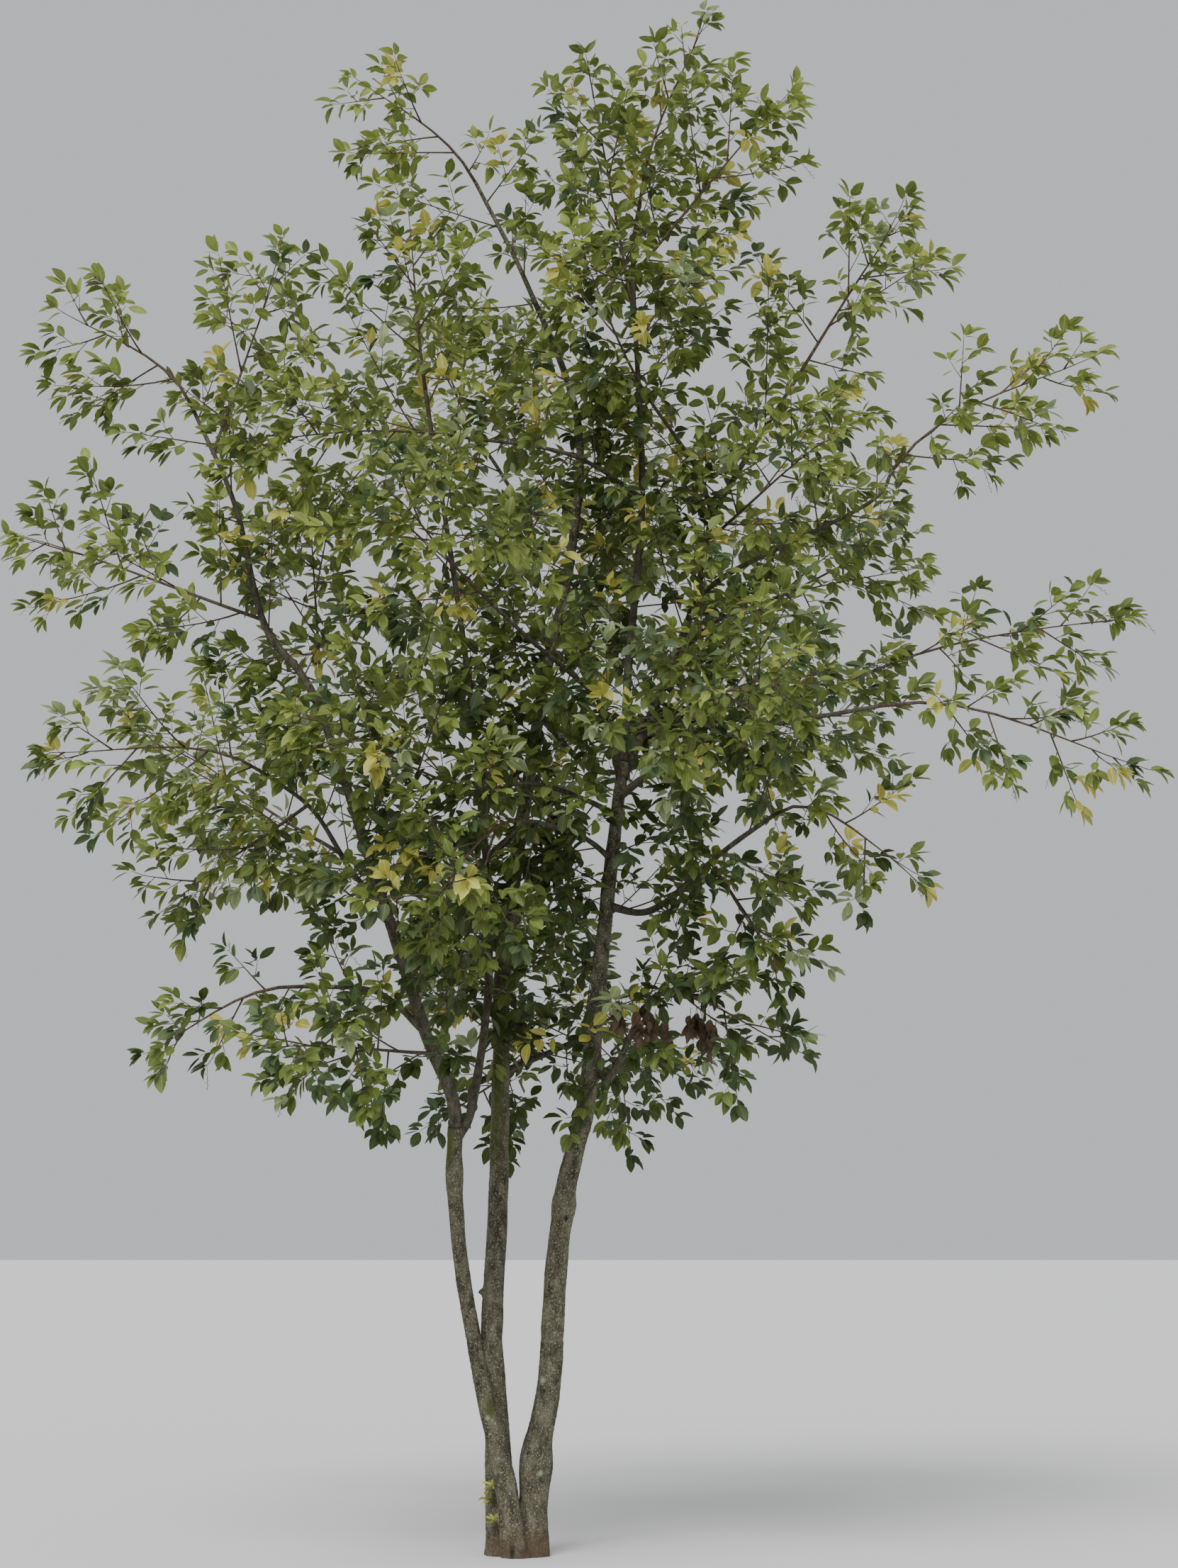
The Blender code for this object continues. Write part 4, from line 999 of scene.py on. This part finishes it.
def leaf_look(name, colour):
    """A leaf's surface: mottled a little, with a pale midrib, and lit through by the sky."""
    made = bpy.data.materials.new("leaf_" + name)
    made.use_nodes = True
    tree = made.node_tree
    shader = tree.nodes["Principled BSDF"]
    coordinates = tree.nodes.new("ShaderNodeTexCoord")
    mottle = tree.nodes.new("ShaderNodeTexNoise")
    mottle.inputs["Scale"].default_value = 9.0
    mottle.inputs["Detail"].default_value = 5.0
    tree.links.new(coordinates.outputs["Object"], mottle.inputs["Vector"])
    tones = ramp(tree, mottle.outputs["Fac"],
                 [(at, tuple(min(part * times, 1) for part in colour))
                  for at, times in LEAF_TONES])
    split = tree.nodes.new("ShaderNodeSeparateXYZ")
    tree.links.new(coordinates.outputs["UV"], split.inputs[0])
    off_middle = tree.nodes.new("ShaderNodeMath")
    off_middle.operation = "SUBTRACT"
    off_middle.inputs[1].default_value = 0.5
    tree.links.new(split.outputs["X"], off_middle.inputs[0])
    distance = tree.nodes.new("ShaderNodeMath")
    distance.operation = "ABSOLUTE"
    tree.links.new(off_middle.outputs[0], distance.inputs[0])
    rib = tree.nodes.new("ShaderNodeMapRange")
    rib.inputs["From Min"].default_value = RIB
    rib.inputs["From Max"].default_value = 0.0
    rib.inputs["To Max"].default_value = RIB_SHARE
    tree.links.new(distance.outputs[0], rib.inputs["Value"])
    coloured = blend(tree, rib.outputs["Result"], tones,
                     tuple(min(part * RIB_LIGHTNESS + 0.03, 1) for part in colour))
    tree.links.new(coloured, shader.inputs["Base Color"])
    shader.inputs["Roughness"].default_value = 0.52
    shader.inputs["Specular IOR Level"].default_value = 0.35
    through = tree.nodes.new("ShaderNodeBsdfTranslucent")
    tree.links.new(coloured, through.inputs["Color"])
    mix = tree.nodes.new("ShaderNodeMixShader")
    mix.inputs["Fac"].default_value = LIT_THROUGH
    tree.links.new(shader.outputs[0], mix.inputs[1])
    tree.links.new(through.outputs[0], mix.inputs[2])
    tree.links.new(mix.outputs[0], tree.nodes["Material Output"].inputs["Surface"])
    return made


def blade_corners(chosen):
    """The corners of many leaves: a stalk, four sections across the blade, and the tip."""
    root = np.array([tuple(leaf.root) for leaf in chosen])
    forward = np.array([tuple(leaf.forward) for leaf in chosen])
    face = np.array([tuple(leaf.face) for leaf in chosen])
    length = np.array([leaf.length for leaf in chosen])[:, None]
    fold = np.array([leaf.fold for leaf in chosen])[:, None]
    curl = np.array([leaf.curl for leaf in chosen])[:, None]
    side = np.cross(forward, face)
    side /= np.linalg.norm(side, axis=1, keepdims=True)
    up = np.cross(side, forward)
    start = root + forward * length * STALK
    corners = [root + side * length * STALK_WIDTH, root - side * length * STALK_WIDTH, start]
    for share, half_width in SECTIONS:
        middle = start + forward * length * share - up * length * curl * share ** 2
        lifted = up * length * half_width * fold
        corners += [middle + side * length * half_width + lifted, middle,
                    middle - side * length * half_width + lifted]
    corners.append(start + forward * length - up * length * curl)
    return np.stack(corners, axis=1)


def blade_faces():
    """The faces of one leaf, as places in its corners."""
    faces = [(0, 1, 2), (2, 4, 3), (2, 5, 4)]
    for section in range(len(SECTIONS) - 1):
        low, high = 3 + 3 * section, 6 + 3 * section
        faces.append((low, low + 1, high + 1, high))
        faces.append((low + 1, low + 2, high + 2, high + 1))
    last = 3 * len(SECTIONS)
    tip = last + 3
    return faces + [(last, last + 1, tip), (last + 1, last + 2, tip)]


blade_map = [(0.5, 0.0), (0.5, 0.0), (0.5, 0.02)]
for share, half_width in SECTIONS:
    blade_map += [(0.5 + half_width, share), (0.5, share), (0.5 - half_width, share)]
blade_map = np.array(blade_map + [(0.5, 1.0)])

leaf_looks = [leaf_look(name, colour) for name, colour in SHADES.items()]
shade_number = {name: number for number, name in enumerate(SHADES)}
TIP_MARGIN = 1.1          # leaf lengths that a leaf needs inside the solids' box
ZONES = {"top": [], "right": [], "left": [], "front": [], "back": [], "middle": []}
for mass in MASSES:
    ZONES[mass[5]].append(mass[0])
low_corner, high_corner = (Vector(corner) for corner in cad_box)
for zone, nodes in ZONES.items():
    chosen = []
    for leaf in leaves:
        tip = leaf.root + leaf.forward * leaf.length * TIP_MARGIN
        if leaf.zone == zone and all(low_corner[axis] < tip[axis] < high_corner[axis]
                                     for axis in range(3)):
            chosen.append(leaf)
    piece = joined("leaves_" + zone, blade_corners(chosen), blade_faces(), leaf_looks,
                   np.array([shade_number[leaf.shade] for leaf in chosen]), blade_map)
    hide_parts(*(nodes or foliage_nodes))

# The floor and the light are a plain pale studio. The camera stands where the photograph
# was taken from, 15 m off at eye height, and looks up a little.
FLOOR_HALF_SIZE = 60
CAMERA_PLACE = (0.3127, -15.0, 1.6)
CAMERA_AIM_HEIGHT = 3.3957
CAMERA_LENS = 77.29       # for a sensor of 36
floor_shape = bmesh.new()
bmesh.ops.create_grid(floor_shape, x_segments=1, y_segments=1, size=FLOOR_HALF_SIZE)
floor_mesh = bpy.data.meshes.new("floor")
floor_shape.to_mesh(floor_mesh)
floor_shape.free()
floor = bpy.data.objects.new("floor", floor_mesh)
bpy.context.scene.collection.objects.link(floor)
floor_look = bpy.data.materials.new("pale_floor")
floor_look.use_nodes = True
floor_shader = floor_look.node_tree.nodes["Principled BSDF"]
floor_shader.inputs["Base Color"].default_value = (0.72, 0.72, 0.71, 1.0)
floor_shader.inputs["Roughness"].default_value = 0.9
floor_mesh.materials.append(floor_look)

world = bpy.data.worlds.new("studio")
world.use_nodes = True
sky = world.node_tree.nodes["Background"]
sky.inputs["Color"].default_value = (0.86, 0.88, 0.90, 1.0)
sky.inputs["Strength"].default_value = 0.70
bpy.context.scene.world = world

# light, strength, how soft it is in degrees, how it is turned
for light_name, strength, spread, turn in (("key", 3.0, 28, (38, -18, 0)),
                                           ("fill", 0.5, 80, (62, 40, 0))):
    light = bpy.data.lights.new(light_name, "SUN")
    light.energy = strength
    light.angle = math.radians(spread)
    lamp = bpy.data.objects.new(light_name, light)
    lamp.rotation_euler = [math.radians(part) for part in turn]
    bpy.context.scene.collection.objects.link(lamp)

camera = bpy.data.objects.new("camera", bpy.data.cameras.new("camera"))
camera.data.lens = CAMERA_LENS
camera.data.sensor_width = 36.0
camera.location = CAMERA_PLACE
tilt = math.atan2(CAMERA_AIM_HEIGHT - CAMERA_PLACE[2], -CAMERA_PLACE[1])
camera.rotation_euler = (math.pi / 2 + tilt, 0.0, 0.0)
bpy.context.scene.collection.objects.link(camera)
bpy.context.scene.camera = camera
